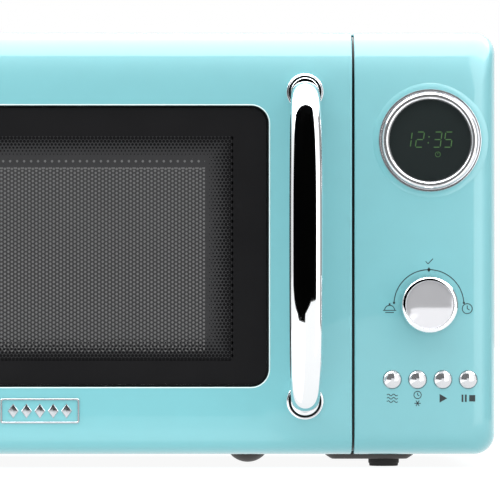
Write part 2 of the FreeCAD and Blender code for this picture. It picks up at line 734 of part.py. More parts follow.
def controls():
    """Control board, rotary encoder with its push shaft, knob and four buttons."""
    face = D.board_y
    board = box("board_sheet", (149, 217), (face, face + D.board_thick), (24, 236))
    back = face + D.board_thick
    pieces = [board]
    sites = [(158, 140, 26, 22), (192, 128, 14, 34), (156, 30, 18, 12), (190, 34, 20, 10)]
    for index, (x, z, wide, high) in enumerate(sites):
        pieces.append(box(f"board_part_{index}", (x, x + wide), (back, back + 6), (z, z + high)))
    switch_high = 4
    for index in range(4):
        x = D.button_first + D.button_pitch * index
        pieces.append(box(f"tact_{index}", (x - 3, x + 3), (face - switch_high, face),
                          (D.button_z - 3, D.button_z + 3)))
    part("control_board", fuse("board", pieces))
    for index in range(4):
        at = (D.button_first + D.button_pitch * index, D.face_y, D.button_z)
        stem_end = D.face_y - (face - switch_high - 1.6)
        button = turned(f"button_form_{index}", "-Y", at, [
            (size(0), stem_end), (size(2.2), stem_end), (size(2.2), size(-5)),
            (D.button_radius + 1.4, size(-5)), (D.button_radius + 1.4, size(-3.6)),
            (D.button_radius, size(-3.6)), (D.button_radius, size(0.8)), (size(0), size(3))],
            {6: dome(D.button_radius, 2.2)})
        part(f"button_{index + 1}", button)
    axis_x, axis_z = D.knob_x, D.knob_z
    encoder_front = face - 9
    shell = box("encoder_case", (axis_x - 7, axis_x + 7), (encoder_front, face),
                (axis_z - 7, axis_z + 7))
    hollow = rod("encoder_hollow", "+Y", (axis_x, encoder_front + 1.5, axis_z), 5, 5)
    bore = rod("encoder_bore", "+Y", (axis_x, encoder_front - 1, axis_z),
               D.plunger_radius + D.running_gap, 4)
    part("encoder_body", cut("encoder", shell, [hollow, bore]))
    pin_front = D.face_y - 8
    plunger = fuse("plunger", [
        rod("plunger_pin", "+Y", (axis_x, pin_front, axis_z), D.plunger_radius,
            encoder_front + 3.5 - pin_front),
        rod("plunger_disc", "+Y", (axis_x, encoder_front + 2.5, axis_z), 4, 1.5)])
    part("encoder_plunger", plunger)
    sleeve = cut("knob_sleeve", rod("sleeve_rod", "+Y", (axis_x, pin_front - 1, axis_z),
                                    D.shaft_radius, encoder_front - 1.2 - pin_front + 1),
                 [rod("sleeve_bore", "+Y", (axis_x, pin_front - 0.3, axis_z),
                      D.plunger_radius + D.running_gap, 40)])
    part("knob_shaft", sleeve)
    base = D.knob_gap
    tip = D.knob_gap + D.knob_high
    bore_end = D.face_y - (pin_front - 1)
    knob = turned("knob_cup", "-Y", (axis_x, D.face_y, axis_z), [
        (D.shaft_radius, base), (D.knob_radius, base), (D.knob_radius, tip - 2.6),
        (D.knob_radius - 2.6, tip), (size(0), tip), (size(0), bore_end),
        (D.shaft_radius, bore_end)], {2: size(3)})
    part("knob", knob)


# ---------------------------------------------------------------- turntable

def turntable():
    x, y = D.table_x, D.table_y
    floor = D.cavity_floor
    case = rod("motor_can", "+Z", (x, y, size(13)), 24.5, floor - 1 - 13 - 0.3)
    ears = box("motor_ears", (x - 33, x + 33), (y - 7, y + 7), (floor - 2.5, floor - 1.3))
    bore = rod("motor_bore", "+Z", (x, y, size(20)), D.drive_radius + D.running_gap, 20)
    part("turntable_motor", cut("motor_case", fuse("motor_body", [case, ears]), [bore]))
    shaft = rod("drive_shaft", "+Z", (x, y, size(22)), D.drive_radius, 16)
    part("turntable_shaft", shaft)
    hub = rod("coupler_hub", "+Z", (x, y, floor + 3), 11, 9.6)
    socket = rod("coupler_socket", "+Z", (x, y, floor + 2), D.drive_radius, 3)
    wings = []
    lugs = []
    for index in range(3):
        wing = box(f"coupler_wing_{index}", (0, 24), (-4, 4), (floor + 5, floor + 12.6))
        wings.append(spun(wing, x, y, 120 * index))
        lug = box(f"tray_lug_{index}", (14.5, 21.5), (-3, 3), (floor + 9, D.tray_low + 0.5))
        lugs.append(spun(lug, x, y, 120 * index + 60))
    part("turntable_coupler", cut("coupler", fuse("coupler_form", [hub] + wings), [socket]))
    low = D.tray_low
    plate = turned("tray_dish", "+Z", (x, y, 0), [
        (size(0), low), (D.tray_radius - 13, low), (D.tray_radius, low + 12),
        (D.tray_radius - 2.5, low + 13), (D.tray_radius - 15, low + 4), (size(0), low + 4)],
        {1: size(22), 3: size(-20)})
    part("glass_tray", fuse("tray", [plate] + lugs))
    roller_ring(x, y)


def spun(piece, x, y, angle):
    """Places a piece that was made about the origin on the turntable's axis."""
    moved = doc.addObject("Part::Compound", piece.Name + "_turned")
    moved.Links = [piece]
    moved.Placement.Rotation = FreeCAD.Rotation(Vector(0, 0, 1), angle)
    place(moved, x, y, 0)
    return moved


def roller_ring(x, y):
    """The ring that carries three wheels on stub axles, between floor and tray."""
    band = turned("ring_band", "+Z", (x, y, 0), [
        (D.wheel_path - 13, D.wheel_z - 2.2), (D.wheel_path - 6, D.wheel_z - 2.2),
        (D.wheel_path - 6, D.wheel_z + 2.2), (D.wheel_path - 13, D.wheel_z + 2.2)])
    stubs = []
    for index in range(3):
        turn = 120 * index + 30
        stub = rod(f"ring_stub_{index}", "+X", (D.wheel_path - 8, size(0), D.wheel_z), 1.6, 13)
        stubs.append(spun(stub, x, y, turn))
        disc_piece = rod(f"wheel_disc_{index}", "+X", (D.wheel_path - 3.5, size(0), D.wheel_z),
                         D.wheel_radius, 7)
        hole = rod(f"wheel_hole_{index}", "+X", (D.wheel_path - 5, size(0), D.wheel_z),
                   1.6 + D.running_gap, 10)
        wheel = cut(f"wheel_{index}", disc_piece, [hole])
        part(f"roller_wheel_{index + 1}", spun(wheel, x, y, turn))
    part("roller_ring", fuse("ring", [band] + stubs))


# ---------------------------------------------------------------- electrical side

def latch_board():
    """The interlock bracket behind the front plate, its three switches and two levers."""
    side = D.latch_x + 7.5
    pieces = [box("board_wall", (side, side + 2), (plate_back, -70), (58, 214))]
    for name, level in zip(("lower", "upper"), hook_levels):
        pieces.append(box(f"strike_{name}", (D.latch_x - 4, side + 1), (-100, -94.5),
                          (level - 12, level - 4.3)))
    pieces.append(box("board_flange", (side, side + 14), (plate_back, plate_back + 2), (58, 214)))
    part("latch_board", fuse("interlock_bracket", pieces))
    switches = [box(f"switch_{index}", (side + 2.2, side + 9), (-98, -78), (z, z + 16))
                for index, z in enumerate((66, 92, 184))]
    part("microswitches", group("switch_group", switches))
    for name, level in zip(("lower", "upper"), hook_levels):
        arm = box(f"lever_arm_{name}", (D.latch_x - 3, side - 0.4),
                  (D.hook_reach + 1, D.hook_reach + 3), (level - 4, level + 16))
        eye = rod(f"lever_eye_{name}", "+X", (D.latch_x - 3, D.hook_reach + 2, level + 16), 2.6,
                  side - 0.4 - (D.latch_x - 3))
        part(f"interlock_lever_{name}", fuse(f"lever_{name}", [arm, eye]))


def microwave_source():
    right = D.cavity_right + D.sheet_metal
    guide = cut("guide_shell", box("guide_outer", (right, right + 17), (-20, 76), (104, 196)),
                [box("guide_inner", (right - 1, right + 15.5), (-18.5, 74.5), (105.5, 194.5))])
    port = rod("guide_port", "+X", (right + 14, size(28), size(172)), 9, 5)
    part("waveguide", cut("guide", guide, [port]))
    mica = box("mica_sheet", (D.cavity_right - 0.7, D.cavity_right - 0.1), (-18, 74), (106, 158))
    part("waveguide_cover", mica)
    start = right + 17.2
    yokes = [box("yoke_near", (start, start + 2), (-8, 64), (140, 204)),
             box("yoke_far", (start + 46, start + 48), (-8, 64), (140, 204)),
             box("yoke_side", (start, start + 48), (-8, -6), (140, 204)),
             rod("anode", "+X", (start, size(28), size(172)), 17, 48),
             rod("antenna", "+X", (start - 14, size(28), size(172)), 7, 16),
             box("filter_box", (start + 47, start + 66), (4, 52), (150, 194))]
    fins = []
    for index in range(8):
        x = start + 6 + 5 * index
        fins.append(box(f"fin_{index}", (x, x + 0.6), (-7, 62), (146, 198)))
    part("magnetron", fuse("magnetron_form", yokes + fins))


def power_parts():
    floor = D.base_low + 1.4
    core = box("core_stack", (120, 212), (78, 138), (floor, floor + 72))
    coils = [box("coil_primary", (134, 198), (62, 154), (floor + 8, floor + 32)),
             box("coil_secondary", (134, 198), (64, 152), (floor + 38, floor + 64))]
    part("transformer", fuse("transformer_form", [core] + coils))
    can = fuse("capacitor_form", [
        rod("can_left", "+Y", (size(136), size(-60), floor + 18), 17, 74),
        rod("can_right", "+Y", (size(160), size(-60), floor + 18), 17, 74),
        box("can_middle", (136, 160), (-60, 14), (floor + 1, floor + 35)),
        box("can_terminals", (142, 154), (14, 24), (floor + 12, floor + 24))])
    part("capacitor", can)
    diode = fuse("diode_form", [
        rod("diode_body", "+Y", (size(192), size(-40), floor + 20), 4, 22),
        rod("diode_lead", "+Y", (size(192), size(-54), floor + 20), 0.8, 50)])
    part("high_voltage_diode", diode)
    board = box("filter_sheet", (118, 206), (-84, -10), (230, 231.6))
    bits = [rod("filter_choke", "+Z", (size(140), size(-50), size(231)), 13, 14),
            box("filter_fuse", (170, 176), (-70, -40), (231, 238)),
            box("filter_cap", (184, 200), (-50, -28), (231, 249))]
    part("noise_filter", fuse("filter_form", [board] + bits))
    lamp = fuse("lamp_form", [
        rod("lamp_base", "+X", (D.cavity_right + 8, size(100), size(214)), 8, 14),
        rod("lamp_bulb", "+X", (D.cavity_right + 1.5, size(100), size(214)), 5, 8)])
    part("oven_lamp", lamp)
    cut_out = fuse("cut_out_form", [
        rod("cut_out_disc", "+Z", (size(-20), size(90), D.cavity_top + 1), 8, 7),
        box("cut_out_tabs", (-24, -16), (80, 100), (D.cavity_top + 6, D.cavity_top + 8.5))])
    part("thermal_cutout", cut_out)


def fan():
    x, y, z = D.fan_x, D.fan_y, D.fan_z
    shroud = box("shroud_block", (x - 44, x + 44), (y - 6, D.cabinet_rear - 0.2),
                 (z - 44, z + 44))
    well = rod("shroud_well", "+Y", (x, y - 8, z), D.fan_radius + 2, 40)
    part("fan_shroud", cut("shroud", shroud, [well]))
    motor = box("fan_core", (x - 19, x + 19), (y - 34, y - 12), (z - 22, z + 22))
    bore = rod("fan_bore", "+Y", (x, y - 40, z), 2 + D.running_gap, 40)
    level = (z - 5, z + 5)
    legs = []
    for side in (-1, 1):
        middle = x + side * 43
        legs.append(box(f"fan_leg_{side}", (middle - 3, middle + 3), (y - 14, y - 6), level))
    cross = box("fan_cross", (x - 45, x + 45), (y - 14, y - 12), level)
    part("fan_motor", cut("fan_motor_form", fuse("fan_frame", [motor, cross] + legs), [bore]))
    shaft = rod("fan_shaft", "+Y", (x, y - 33, z), 2, 36)
    hub = rod("fan_hub", "+Y", (x, y - 5, z), 8, 12)
    blades = []
    for index in range(5):
        blade = doc.addObject("Part::Box", f"fan_blade_{index}")
        blade.Length = 29
        blade.Width = 1.4
        blade.Height = 17
        pitch = FreeCAD.Rotation(Vector(1, 0, 0), 40)
        spin = FreeCAD.Rotation(Vector(0, 1, 0), 72 * index)
        offset = pitch.multVec(Vector(0, -0.7, -8.5)) + Vector(6, 0, 0)
        blade.Placement.Rotation = spin.multiply(pitch)
        moved = spin.multVec(offset)
        place(blade, x + moved.x, y + 1 + moved.y, z + moved.z)
        blades.append(blade)
    part("fan_blade", fuse("fan_rotor", [shaft, hub] + blades))


# ---------------------------------------------------------------- the whole oven

for build in (wrap_cabinet, base_plate, rear_panel, cavity_liner, front_plate, hinge_arms, feet,
              rear_fittings, door_frame, window, door_inside, latch_parts, strap_handle,
              handle_fittings, badge, control_panel, display, controls, turntable, latch_board,
              microwave_source, power_parts, fan):
    build()
doc.recompute()

failed = [item.Name for item in doc.Objects
          if "Invalid" in item.State or "Error" in item.State]
if failed:
    raise ValueError(f"failed objects: {failed}")
os.makedirs("parts", exist_ok=True)
for piece in parts:
    if piece.Shape.isNull() or not piece.Shape.isValid():
        raise ValueError(f"{piece.Label} has no valid shape")
    piece.Shape.exportStep(f"parts/{piece.Label}.step")
    box_of = piece.Shape.BoundBox
    print(f"{piece.Label:24s} solids {len(piece.Shape.Solids)} volume {piece.Shape.Volume:10.0f} "
          f"x {box_of.XMin:7.1f} {box_of.XMax:7.1f} y {box_of.YMin:7.1f} {box_of.YMax:7.1f} "
          f"z {box_of.ZMin:6.1f} {box_of.ZMax:6.1f}")
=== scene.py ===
import math

import bmesh
import bpy
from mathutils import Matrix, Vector


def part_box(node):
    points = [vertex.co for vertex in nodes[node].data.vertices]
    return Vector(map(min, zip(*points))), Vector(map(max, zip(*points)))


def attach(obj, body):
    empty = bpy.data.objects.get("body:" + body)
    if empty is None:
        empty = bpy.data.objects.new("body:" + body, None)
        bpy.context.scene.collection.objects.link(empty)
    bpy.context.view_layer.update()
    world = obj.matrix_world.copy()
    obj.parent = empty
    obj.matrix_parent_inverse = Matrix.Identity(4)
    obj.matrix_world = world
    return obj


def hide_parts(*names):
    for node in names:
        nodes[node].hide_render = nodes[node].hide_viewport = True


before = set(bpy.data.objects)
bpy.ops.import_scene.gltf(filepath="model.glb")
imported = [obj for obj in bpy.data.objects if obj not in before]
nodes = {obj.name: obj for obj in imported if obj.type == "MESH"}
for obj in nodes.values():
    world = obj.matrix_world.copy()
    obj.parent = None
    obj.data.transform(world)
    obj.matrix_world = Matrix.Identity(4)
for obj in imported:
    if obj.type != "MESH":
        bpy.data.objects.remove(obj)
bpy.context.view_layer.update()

MM = 0.001
scene = bpy.context.scene

# ---------------- sizes, in millimetres


def box_mm(node):
    """A CAD node's two corners, in millimetres."""
    low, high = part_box(node)
    return low / MM, high / MM


def centre_mm(node):
    """The middle of a CAD node, in millimetres."""
    low, high = box_mm(node)
    return (low + high) / 2


pane_low, pane_high = box_mm("window_glass")
badge_low, badge_high = box_mm("door_badge")
HALF_WIDTH = 227.5  # half of the front's width
FRONT_LOW = 7.8  # the front's lower and upper edge, as Z
FRONT_HIGH = 262
FACE = -148  # the flat face of door and panel, as Y
FRONT_BACK = box_mm("door_frame")[1].y
PANEL_BACK = box_mm("control_panel")[1].y
FRONT_DEPTH = FRONT_BACK - FACE
SEAM_LEFT = box_mm("door_frame")[1].x
SEAM_RIGHT = box_mm("control_panel")[0].x
CORNER = 12.5
TOP_ROLL = 40  # how far the rolled edges reach in from the outline
SIDE_ROLL = 18
LOW_ROLL = 16
ROLL_POWER = 3.2  # the superellipse's power
ROLL_RINGS = 36
SEAM_ROUND = 0.9
SEAM_DEEP = 2.5
STRIP_THICK = 3
WINDOW_ROUND = 0.5
PANE_CORNER = 9.6
WALL = 8
WINDOW_GAP = 1.2
HOLLOW_HINGE = 15.5  # the wall that the hollow backs leave, on each of their sides
HOLLOW_SEAM = 2.5
HOLLOW_SIDE = 5.5
HOLLOW_TOP = 9
HOLLOW_CORNER = 8
CONTROLS_WALL = 3  # the thinner wall behind the controls, and its outline
CONTROLS_FIELD = (150, 218, 30, 236, 6)
BUTTON_WELL = 5.6  # radii of the holes in the panel
SHAFT_WELL = 3.4
DISPLAY_WELL = 27.8
ROSE_SPACING = 92.75  # from the roses' middle to each rose
HINGE_LEVELS = (27, 239)  # the slots in the door's shell for the hinge arms
HINGE_SLOT_X = (-232, -214)
HINGE_SLOT_Y = (-129, -110)
PIVOT_ROUND = 8.5  # the round edge about the door's pivot
PIVOT_X = PIVOT_ROUND - HALF_WIDTH
PIVOT_Y = FRONT_BACK - PIVOT_ROUND

display = centre_mm("display_bezel")
dial = centre_mm("knob")
buttons = [centre_mm(f"button_{number}") for number in range(1, 5)]
handle_low, handle_high = [centre_mm("handle_roses").z + side * ROSE_SPACING
                           for side in (-1, 1)]
handle_x = centre_mm("door_handle").x


# ---------------- materials

COAT_ROUGHNESS = 0.03
RELIEF_DEPTH = 0.0005  # in metres
GRAIN_RANGE = (0.3, 0.7)  # the part of the texture that the colour ramp spans


def linear(red, green, blue):
    """An sRGB colour, 0 to 255, as the linear colour that shaders take."""
    parts = [value / 255 for value in (red, green, blue)]
    return [part / 12.92 if part <= 0.04045 else ((part + 0.055) / 1.055) ** 2.4
            for part in parts] + [1.0]


def set_sockets(shader, values):
    """Sets constants on a shader's own sockets."""
    for socket, value in values.items():
        shader.inputs[socket].default_value = value


def surface(name, colour, roughness=0.4, metallic=0.0, grain=300, bump=0.02, spread=0.06,
            rough_spread=0.08, stretch=(1, 1, 1), coat=0.0, alpha=1.0, glow=0.0, specular=0.5,
            pattern="noise"):
    """A surface whose colour, roughness and relief all vary with a fine procedural grain."""
    colour = linear(*colour)
    material = bpy.data.materials.new(name)
    material.use_nodes = True
    tree = material.node_tree
    shader = tree.nodes["Principled BSDF"]
    place = tree.nodes.new("ShaderNodeTexCoord")
    scale = tree.nodes.new("ShaderNodeMapping")
    scale.inputs["Scale"].default_value = stretch
    tree.links.new(place.outputs["Object"], scale.inputs["Vector"])
    if pattern == "spangle":
        texture = tree.nodes.new("ShaderNodeTexVoronoi")
        texture.inputs["Scale"].default_value = grain
        value = texture.outputs["Distance"]
    else:
        texture = tree.nodes.new("ShaderNodeTexNoise")
        texture.inputs["Scale"].default_value = grain
        texture.inputs["Detail"].default_value = 4
        value = texture.outputs["Fac"]
    tree.links.new(scale.outputs["Vector"], texture.inputs["Vector"])
    ramp = tree.nodes.new("ShaderNodeValToRGB")
    for index, factor in enumerate((1 - spread, 1 + spread)):
        stop = ramp.color_ramp.elements[index]
        stop.color = [min(part * factor, 1) for part in colour[:3]] + [1]
        stop.position = GRAIN_RANGE[index]
    tree.links.new(value, ramp.inputs["Fac"])
    tree.links.new(ramp.outputs["Color"], shader.inputs["Base Color"])
    spreads = tree.nodes.new("ShaderNodeMapRange")
    spreads.inputs["To Min"].default_value = max(roughness - rough_spread / 2, 0.01)
    spreads.inputs["To Max"].default_value = roughness + rough_spread / 2
    tree.links.new(value, spreads.inputs["Value"])
    tree.links.new(spreads.outputs["Result"], shader.inputs["Roughness"])
    relief = tree.nodes.new("ShaderNodeBump")
    relief.inputs["Strength"].default_value = bump
    relief.inputs["Distance"].default_value = RELIEF_DEPTH
    tree.links.new(value, relief.inputs["Height"])
    tree.links.new(relief.outputs["Normal"], shader.inputs["Normal"])
    set_sockets(shader, {"Metallic": metallic, "Coat Weight": coat,
                         "Coat Roughness": COAT_ROUGHNESS, "Specular IOR Level": specular,
                         "Alpha": alpha})
    if glow:
        set_sockets(shader, {"Emission Color": colour, "Emission Strength": glow})
        material.cycles.emission_sampling = "NONE"
    return material


TURQUOISE = (102, 179, 187)
POLISHED = {"grain": 80, "bump": 0.003, "rough_spread": 0.02}
GLASSY = {"grain": 40, "bump": 0.002, "rough_spread": 0.02}
turquoise = surface("turquoise_enamel", TURQUOISE, 0.62, grain=90, bump=0.012, spread=0.012,
                    rough_spread=0.05, coat=0.8, specular=1.0)
turquoise_sheet = surface("turquoise_paint", TURQUOISE, 0.42, grain=700, bump=0.06, spread=0.02,
                          rough_spread=0.08, coat=0.05, specular=0.2)
chrome = surface("polished_chrome", (236, 238, 240), 0.045, 1.0, grain=60, bump=0.004, spread=0.01,
                 rough_spread=0.02)
steel = surface("bright_steel", (190, 192, 194), 0.3, 1.0, grain=220, bump=0.05, stretch=(1, 1, 9))
galvanised = surface("zinc_sheet", (178, 183, 186), 0.38, 1.0, grain=120, bump=0.02, spread=0.16,
                     rough_spread=0.2, pattern="spangle")
enamel = surface("cavity_enamel", (205, 208, 206), 0.32, grain=900, bump=0.05, spread=0.03,
                 coat=0.2)
pane_clear = surface("tinted_pane", (22, 24, 25), 0.03, spread=0.03, alpha=0.14, **GLASSY)
pane_print = surface("printed_border", (28, 28, 29), 0.04, spread=0.05, specular=0.35, **GLASSY)
ceramic_ink = surface("ceramic_ink", (22, 22, 23), 0.6, grain=40, bump=0.0, spread=0.05,
                      rough_spread=0.02, specular=0.0)
# Black bead: the window's gasket and seal, and also painted shade on the strip set into the seam
# between door and panel.
bead = surface("bonding_bead_and_seam_shade", (10, 11, 12), 0.5, grain=800, bump=0.1)
# Painted light: the screen sheet and the film behind it glow, so that they look lit behind the
# tinted pane and the holes look bright.
glowing_screen_metal = surface("screen_sheet", (52, 52, 53), 0.6, grain=60, bump=0.01, spread=0.04,
                       specular=0.0, glow=1.15)
glowing_film_back = surface("inner_film", (104, 104, 104), 0.6, grain=60, bump=0.02, spread=0.05,
                    specular=0.0, glow=1.25)
button_metal = surface("button_chrome", (212, 213, 216), 0.08, 0.8, spread=0.015, **POLISHED)
badge_metal = surface("badge_silver", (172, 176, 180), 0.12, 0.9, spread=0.03, **POLISHED)
bezel_metal = surface("bezel_chrome", (222, 223, 226), 0.07, 0.82, spread=0.015, **POLISHED)
bright_metal = surface("brushed_silver", (220, 220, 224), 0.09, 0.5, grain=80, bump=0.004,
                       spread=0.015, rough_spread=0.03)
# Painted highlight: the window lip's pale colour stands in for the bright edge light along the
# opening's rim.
highlight_pale_bead = surface("highlight_pale_bead", (214, 238, 239), 0.25, grain=400, bump=0.02, spread=0.02,
                    coat=0.8)
groove_black = surface("groove_shadow", (14, 14, 15), 0.5, grain=500, bump=0.05, specular=0.1)
dark_plastic = surface("dark_plastic", (38, 39, 42), 0.42, grain=1600, bump=0.12, spread=0.1)
black_plastic = surface("black_plastic", (18, 18, 20), 0.4, grain=1400, bump=0.12, spread=0.12)
white_plastic = surface("white_plastic", (222, 221, 215), 0.42, grain=1100, bump=0.08, spread=0.03)
rubber = surface("foot_rubber", (24, 23, 22), 0.72, grain=1300, bump=0.25, spread=0.15)
underside = surface("base_paint", (40, 36, 33), 0.48, grain=900, bump=0.15, spread=0.12)
lens_face = surface("smoked_lens", (36, 42, 42), 0.08, grain=60, bump=0.003, spread=0.04,
                    rough_spread=0.02)
lit_green = surface("lit_segments", (62, 104, 54), 0.4, grain=300, glow=0.1)
print_ink = surface("legend_ink", (30, 44, 48), 0.4, grain=2000, bump=0.05, spread=0.1)
tray_glass = surface("tray_glass", (206, 226, 222), 0.05, grain=80, bump=0.01, spread=0.03,
                     rough_spread=0.02, alpha=0.32)
roller_plastic = surface("roller_plastic", (214, 212, 204), 0.45, grain=900, bump=0.1)
aluminium = surface("cast_aluminium", (196, 198, 200), 0.36, 1.0, grain=400, bump=0.1, spread=0.08)
board_green = surface("board_lacquer", (26, 88, 52), 0.35, grain=260, bump=0.2, spread=0.3,
                      stretch=(3, 1, 1), coat=0.3)
mica = surface("mica_sheet", (176, 164, 142), 0.5, grain=160, bump=0.1, spread=0.2)
copper = surface("copper_windings", (176, 104, 58), 0.34, 1.0, grain=240, bump=0.3, spread=0.25,
                 stretch=(1, 1, 8))

NODE_MATERIALS = {
    turquoise_sheet: ["wrap_cabinet", "rear_panel"],
    enamel: ["cavity_liner", "front_plate"],
    underside: ["base_plate", "base_dish"],
    steel: ["cover_screws", "hinge_arms", "encoder_body", "latch_spring", "handle_screws",
            "encoder_plunger", "turntable_shaft"],
    black_plastic: ["cable_gland", "display_module", "high_voltage_diode", "thermal_cutout",
                    "microswitches", "fan_blade"],
    dark_plastic: ["choke_cover"],
    white_plastic: ["latch_arm", "latch_board", "oven_lamp", "knob_shaft",
                    "interlock_lever_lower", "interlock_lever_upper"],
    roller_plastic: ["turntable_coupler", "roller_ring", "roller_wheel_1", "roller_wheel_2",
                     "roller_wheel_3"],
    galvanised: ["turntable_motor", "waveguide", "fan_shroud"],
    mica: ["waveguide_cover"],
    aluminium: ["magnetron", "capacitor"],
    copper: ["transformer", "fan_motor"],
    board_green: ["noise_filter", "control_board"],
    pane_clear: ["window_glass"],
    bead: ["window_gasket"],
    tray_glass: ["glass_tray"],
}


def dress_cad_nodes():
    """Gives every CAD node that stays in view its own material and smooth shading."""
    for material, names in NODE_MATERIALS.items():
        for name in names:
            piece = nodes[name]
            piece.data.materials.clear()
            piece.data.materials.append(material)
            weld = piece.modifiers.new("weld", "WELD")
            weld.merge_threshold = 0.00001
            even = piece.modifiers.new("even", "WEIGHTED_NORMAL")
            even.keep_sharp = True
            smooth(piece)


# ---------------- mesh helpers

SHARP_DEGREES = 32
WELD_DISTANCE = 0.000002  # in metres


def smooth(piece):
    """Smooth shading, with the sharp edges kept."""
    piece.data.shade_smooth()
    piece.data.set_sharp_from_angle(angle=math.radians(SHARP_DEGREES))


def linked(name, data):
    """A new object in the scene."""
    made = bpy.data.objects.new(name, data)
    scene.collection.objects.link(made)
    return made


def welded_object(name, vertices, faces):
    """A new object from vertices in millimetres and faces, its normals outward."""
    mesh = bpy.data.meshes.new(name)
    mesh.from_pydata([Vector(vertex) * MM for vertex in vertices], [], faces)
    mesh.validate()
    tidy = bmesh.new()
    tidy.from_mesh(mesh)
    bmesh.ops.remove_doubles(tidy, verts=tidy.verts, dist=WELD_DISTANCE)
    bmesh.ops.recalc_face_normals(tidy, faces=tidy.faces)
    tidy.to_mesh(mesh)
    tidy.free()
    return linked(name, mesh)


def piece_from(name, mesh_data, material, body, replaced=()):
    """A finished piece that rides on a body."""
    piece = welded_object(name, *mesh_data)
    piece.data.materials.append(material)
    smooth(piece)
    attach(piece, body)
    if replaced:
        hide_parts(*replaced)
    return piece


def arc_points(x, z, radius, start, end, count):
    """Points along an arc in the XZ plane; angles in degrees, counter-clockwise."""
    points = []
    for step in range(count + 1):
        angle = math.radians(start + (end - start) * step / count)
        points.append((x + radius * math.cos(angle), z + radius * math.sin(angle)))
    return points


def ring_points(x, z, radius, count):
    """Points round a circle in the XZ plane."""
    return arc_points(x, z, radius, 0, 360, count)[:-1]


def spaced(start, end, count):
    """Points inside a straight run, closer together towards its ends."""
    points = []
    for step in range(1, count):
        part = (1 - math.cos(math.pi * step / count)) / 2
        points.append(tuple(a + (b - a) * part for a, b in zip(start, end)))
    return points


CORNER_STEPS = 12


def outline(left, right, low, high, round_left, round_right=None, run=8):
    """A rectangle in the XZ plane with rounded corners, counter-clockwise."""
    round_right = round_left if round_right is None else round_right
    corners = [(right, low, -1, 1, round_right, -90), (right, high, -1, -1, round_right, 0),
               (left, high, 1, -1, round_left, 90), (left, low, 1, 1, round_left, 180)]
    arcs = []
    for x, z, step_x, step_z, radius, start in corners:
        if radius:
            arcs.append(arc_points(x + step_x * radius, z + step_z * radius, radius,
                                   start, start + 90, CORNER_STEPS))
        else:
            arcs.append([(x, z)])
    points = []
    for index, arc in enumerate(arcs):
        points += arc + spaced(arc[-1], arcs[(index + 1) % 4][0], run)
    return points


def pane_line(grow):
    """The window pane's outline, grown by that much on each side."""
    return outline(pane_low.x - grow, pane_high.x + grow, pane_low.z - grow, pane_high.z + grow,
                   PANE_CORNER + grow)


class Shell:
    """Collects vertices and faces, ring by ring."""

    def __init__(self):
        self.vertices = []
        self.faces = []

    def ring(self, points, y):
        """Adds a ring of (x, z) points at one Y, and returns its indices."""
        return self.ring_3d([(x, y, z) for x, z in points])

    def ring_3d(self, points):
        """Adds a ring of (x, y, z) points, and returns its indices."""
        start = len(self.vertices)
        self.vertices += list(points)
        return list(range(start, len(self.vertices)))

    def bridge(self, first, second):
        """Joins two rings by a band of quads."""
        count = len(first)
        for index in range(count):
            following = (index + 1) % count
            self.faces.append((first[index], first[following], second[following], second[index]))

    def loft(self, rings, closed=False):
        """Joins each ring to the next one, and the last to the first if closed."""
        for first, second in zip(rings, rings[1:] + (rings[:1] if closed else [])):
            self.bridge(first, second)

    def cap(self, ring):
        """Closes a ring by one face."""
        self.faces.append(tuple(ring))

    def cap_ends(self, first, last):
        """Closes both ends of a loft."""
        self.cap(first)
        self.cap(last[::-1])

    def fill(self, *rings):
        """Fills the flat area between an outer ring and the rings of its holes."""
        mesh = bmesh.new()
        made = {}
        for ring in rings:
            for index in ring:
                made[index] = mesh.verts.new(self.vertices[index])
            for index, following in zip(ring, ring[1:] + ring[:1]):
                mesh.edges.new((made[index], made[following]))
        back = {vertex: index for index, vertex in made.items()}
        filled = bmesh.ops.triangle_fill(mesh, use_beauty=True, edges=mesh.edges[:])
        for face in filled["geom"]:
            if isinstance(face, bmesh.types.BMFace):
                self.faces.append(tuple(back[vertex] for vertex in face.verts))
        mesh.free()

    def data(self):
        return self.vertices, self.faces


def arc_profile(radius, out, size, end, steps, start=0, high=None):
    """Profile points (radius, distance) along an arc, oval where a height is given."""
    high = size if high is None else high
    points = []
    for step in range(steps + 1):
        angle = math.radians(start + (end - start) * step / steps)
        points.append((radius + size * math.cos(angle), out + high * math.sin(angle)))
    return points


def turned_piece(name, profile, x, y, z, count, material, body, slot, replaced=()):
    """A solid of revolution about an axis along -Y; the profile is (radius, distance)."""
    shell = Shell()
    rings = []
    for radius, out in profile:
        points = ring_points(x, z, max(radius, 0.001), count)
        rings.append(shell.ring(points, y - out))
    shell.loft(rings, closed=profile[0][0] > 0)
    piece_from(name, shell.data(), material, body, replaced)


def prisms(shapes, front, thick):
    """Thin prisms with the given outlines, whose front faces lie at that Y."""
    shell = Shell()
    for shape in shapes:
        near = shell.ring(shape, front)
        far = shell.ring(shape, front + thick)
        shell.bridge(near, far)
        shell.cap_ends(near, far)
    return shell.data()


def stroke(points, wide):
    """Outlines of the straight strokes along a path, each with its own ends."""
    shapes = []
    for (x0, z0), (x1, z1) in zip(points, points[1:]):
        long = math.hypot(x1 - x0, z1 - z0)
        side_x, side_z = (z0 - z1) / long * wide / 2, (x1 - x0) / long * wide / 2
        shapes.append([(x0 + side_x, z0 + side_z), (x0 - side_x, z0 - side_z),
                       (x1 - side_x, z1 - side_z), (x1 + side_x, z1 + side_z)])
    return shapes


def carve(piece, cutters):
    """Takes closed cutter meshes out of a piece, and leaves the result in its mesh."""
    for cutter in cutters:
        hole = piece.modifiers.new("carve", "BOOLEAN")
        hole.operation = "DIFFERENCE"
        hole.solver = "EXACT"
        hole.object = cutter
    bpy.context.view_layer.update()
    graph = bpy.context.evaluated_depsgraph_get()
    carved = bpy.data.meshes.new_from_object(piece.evaluated_get(graph))
    piece.modifiers.clear()
    piece.data = carved
    for cutter in cutters:
        bpy.data.objects.remove(cutter)


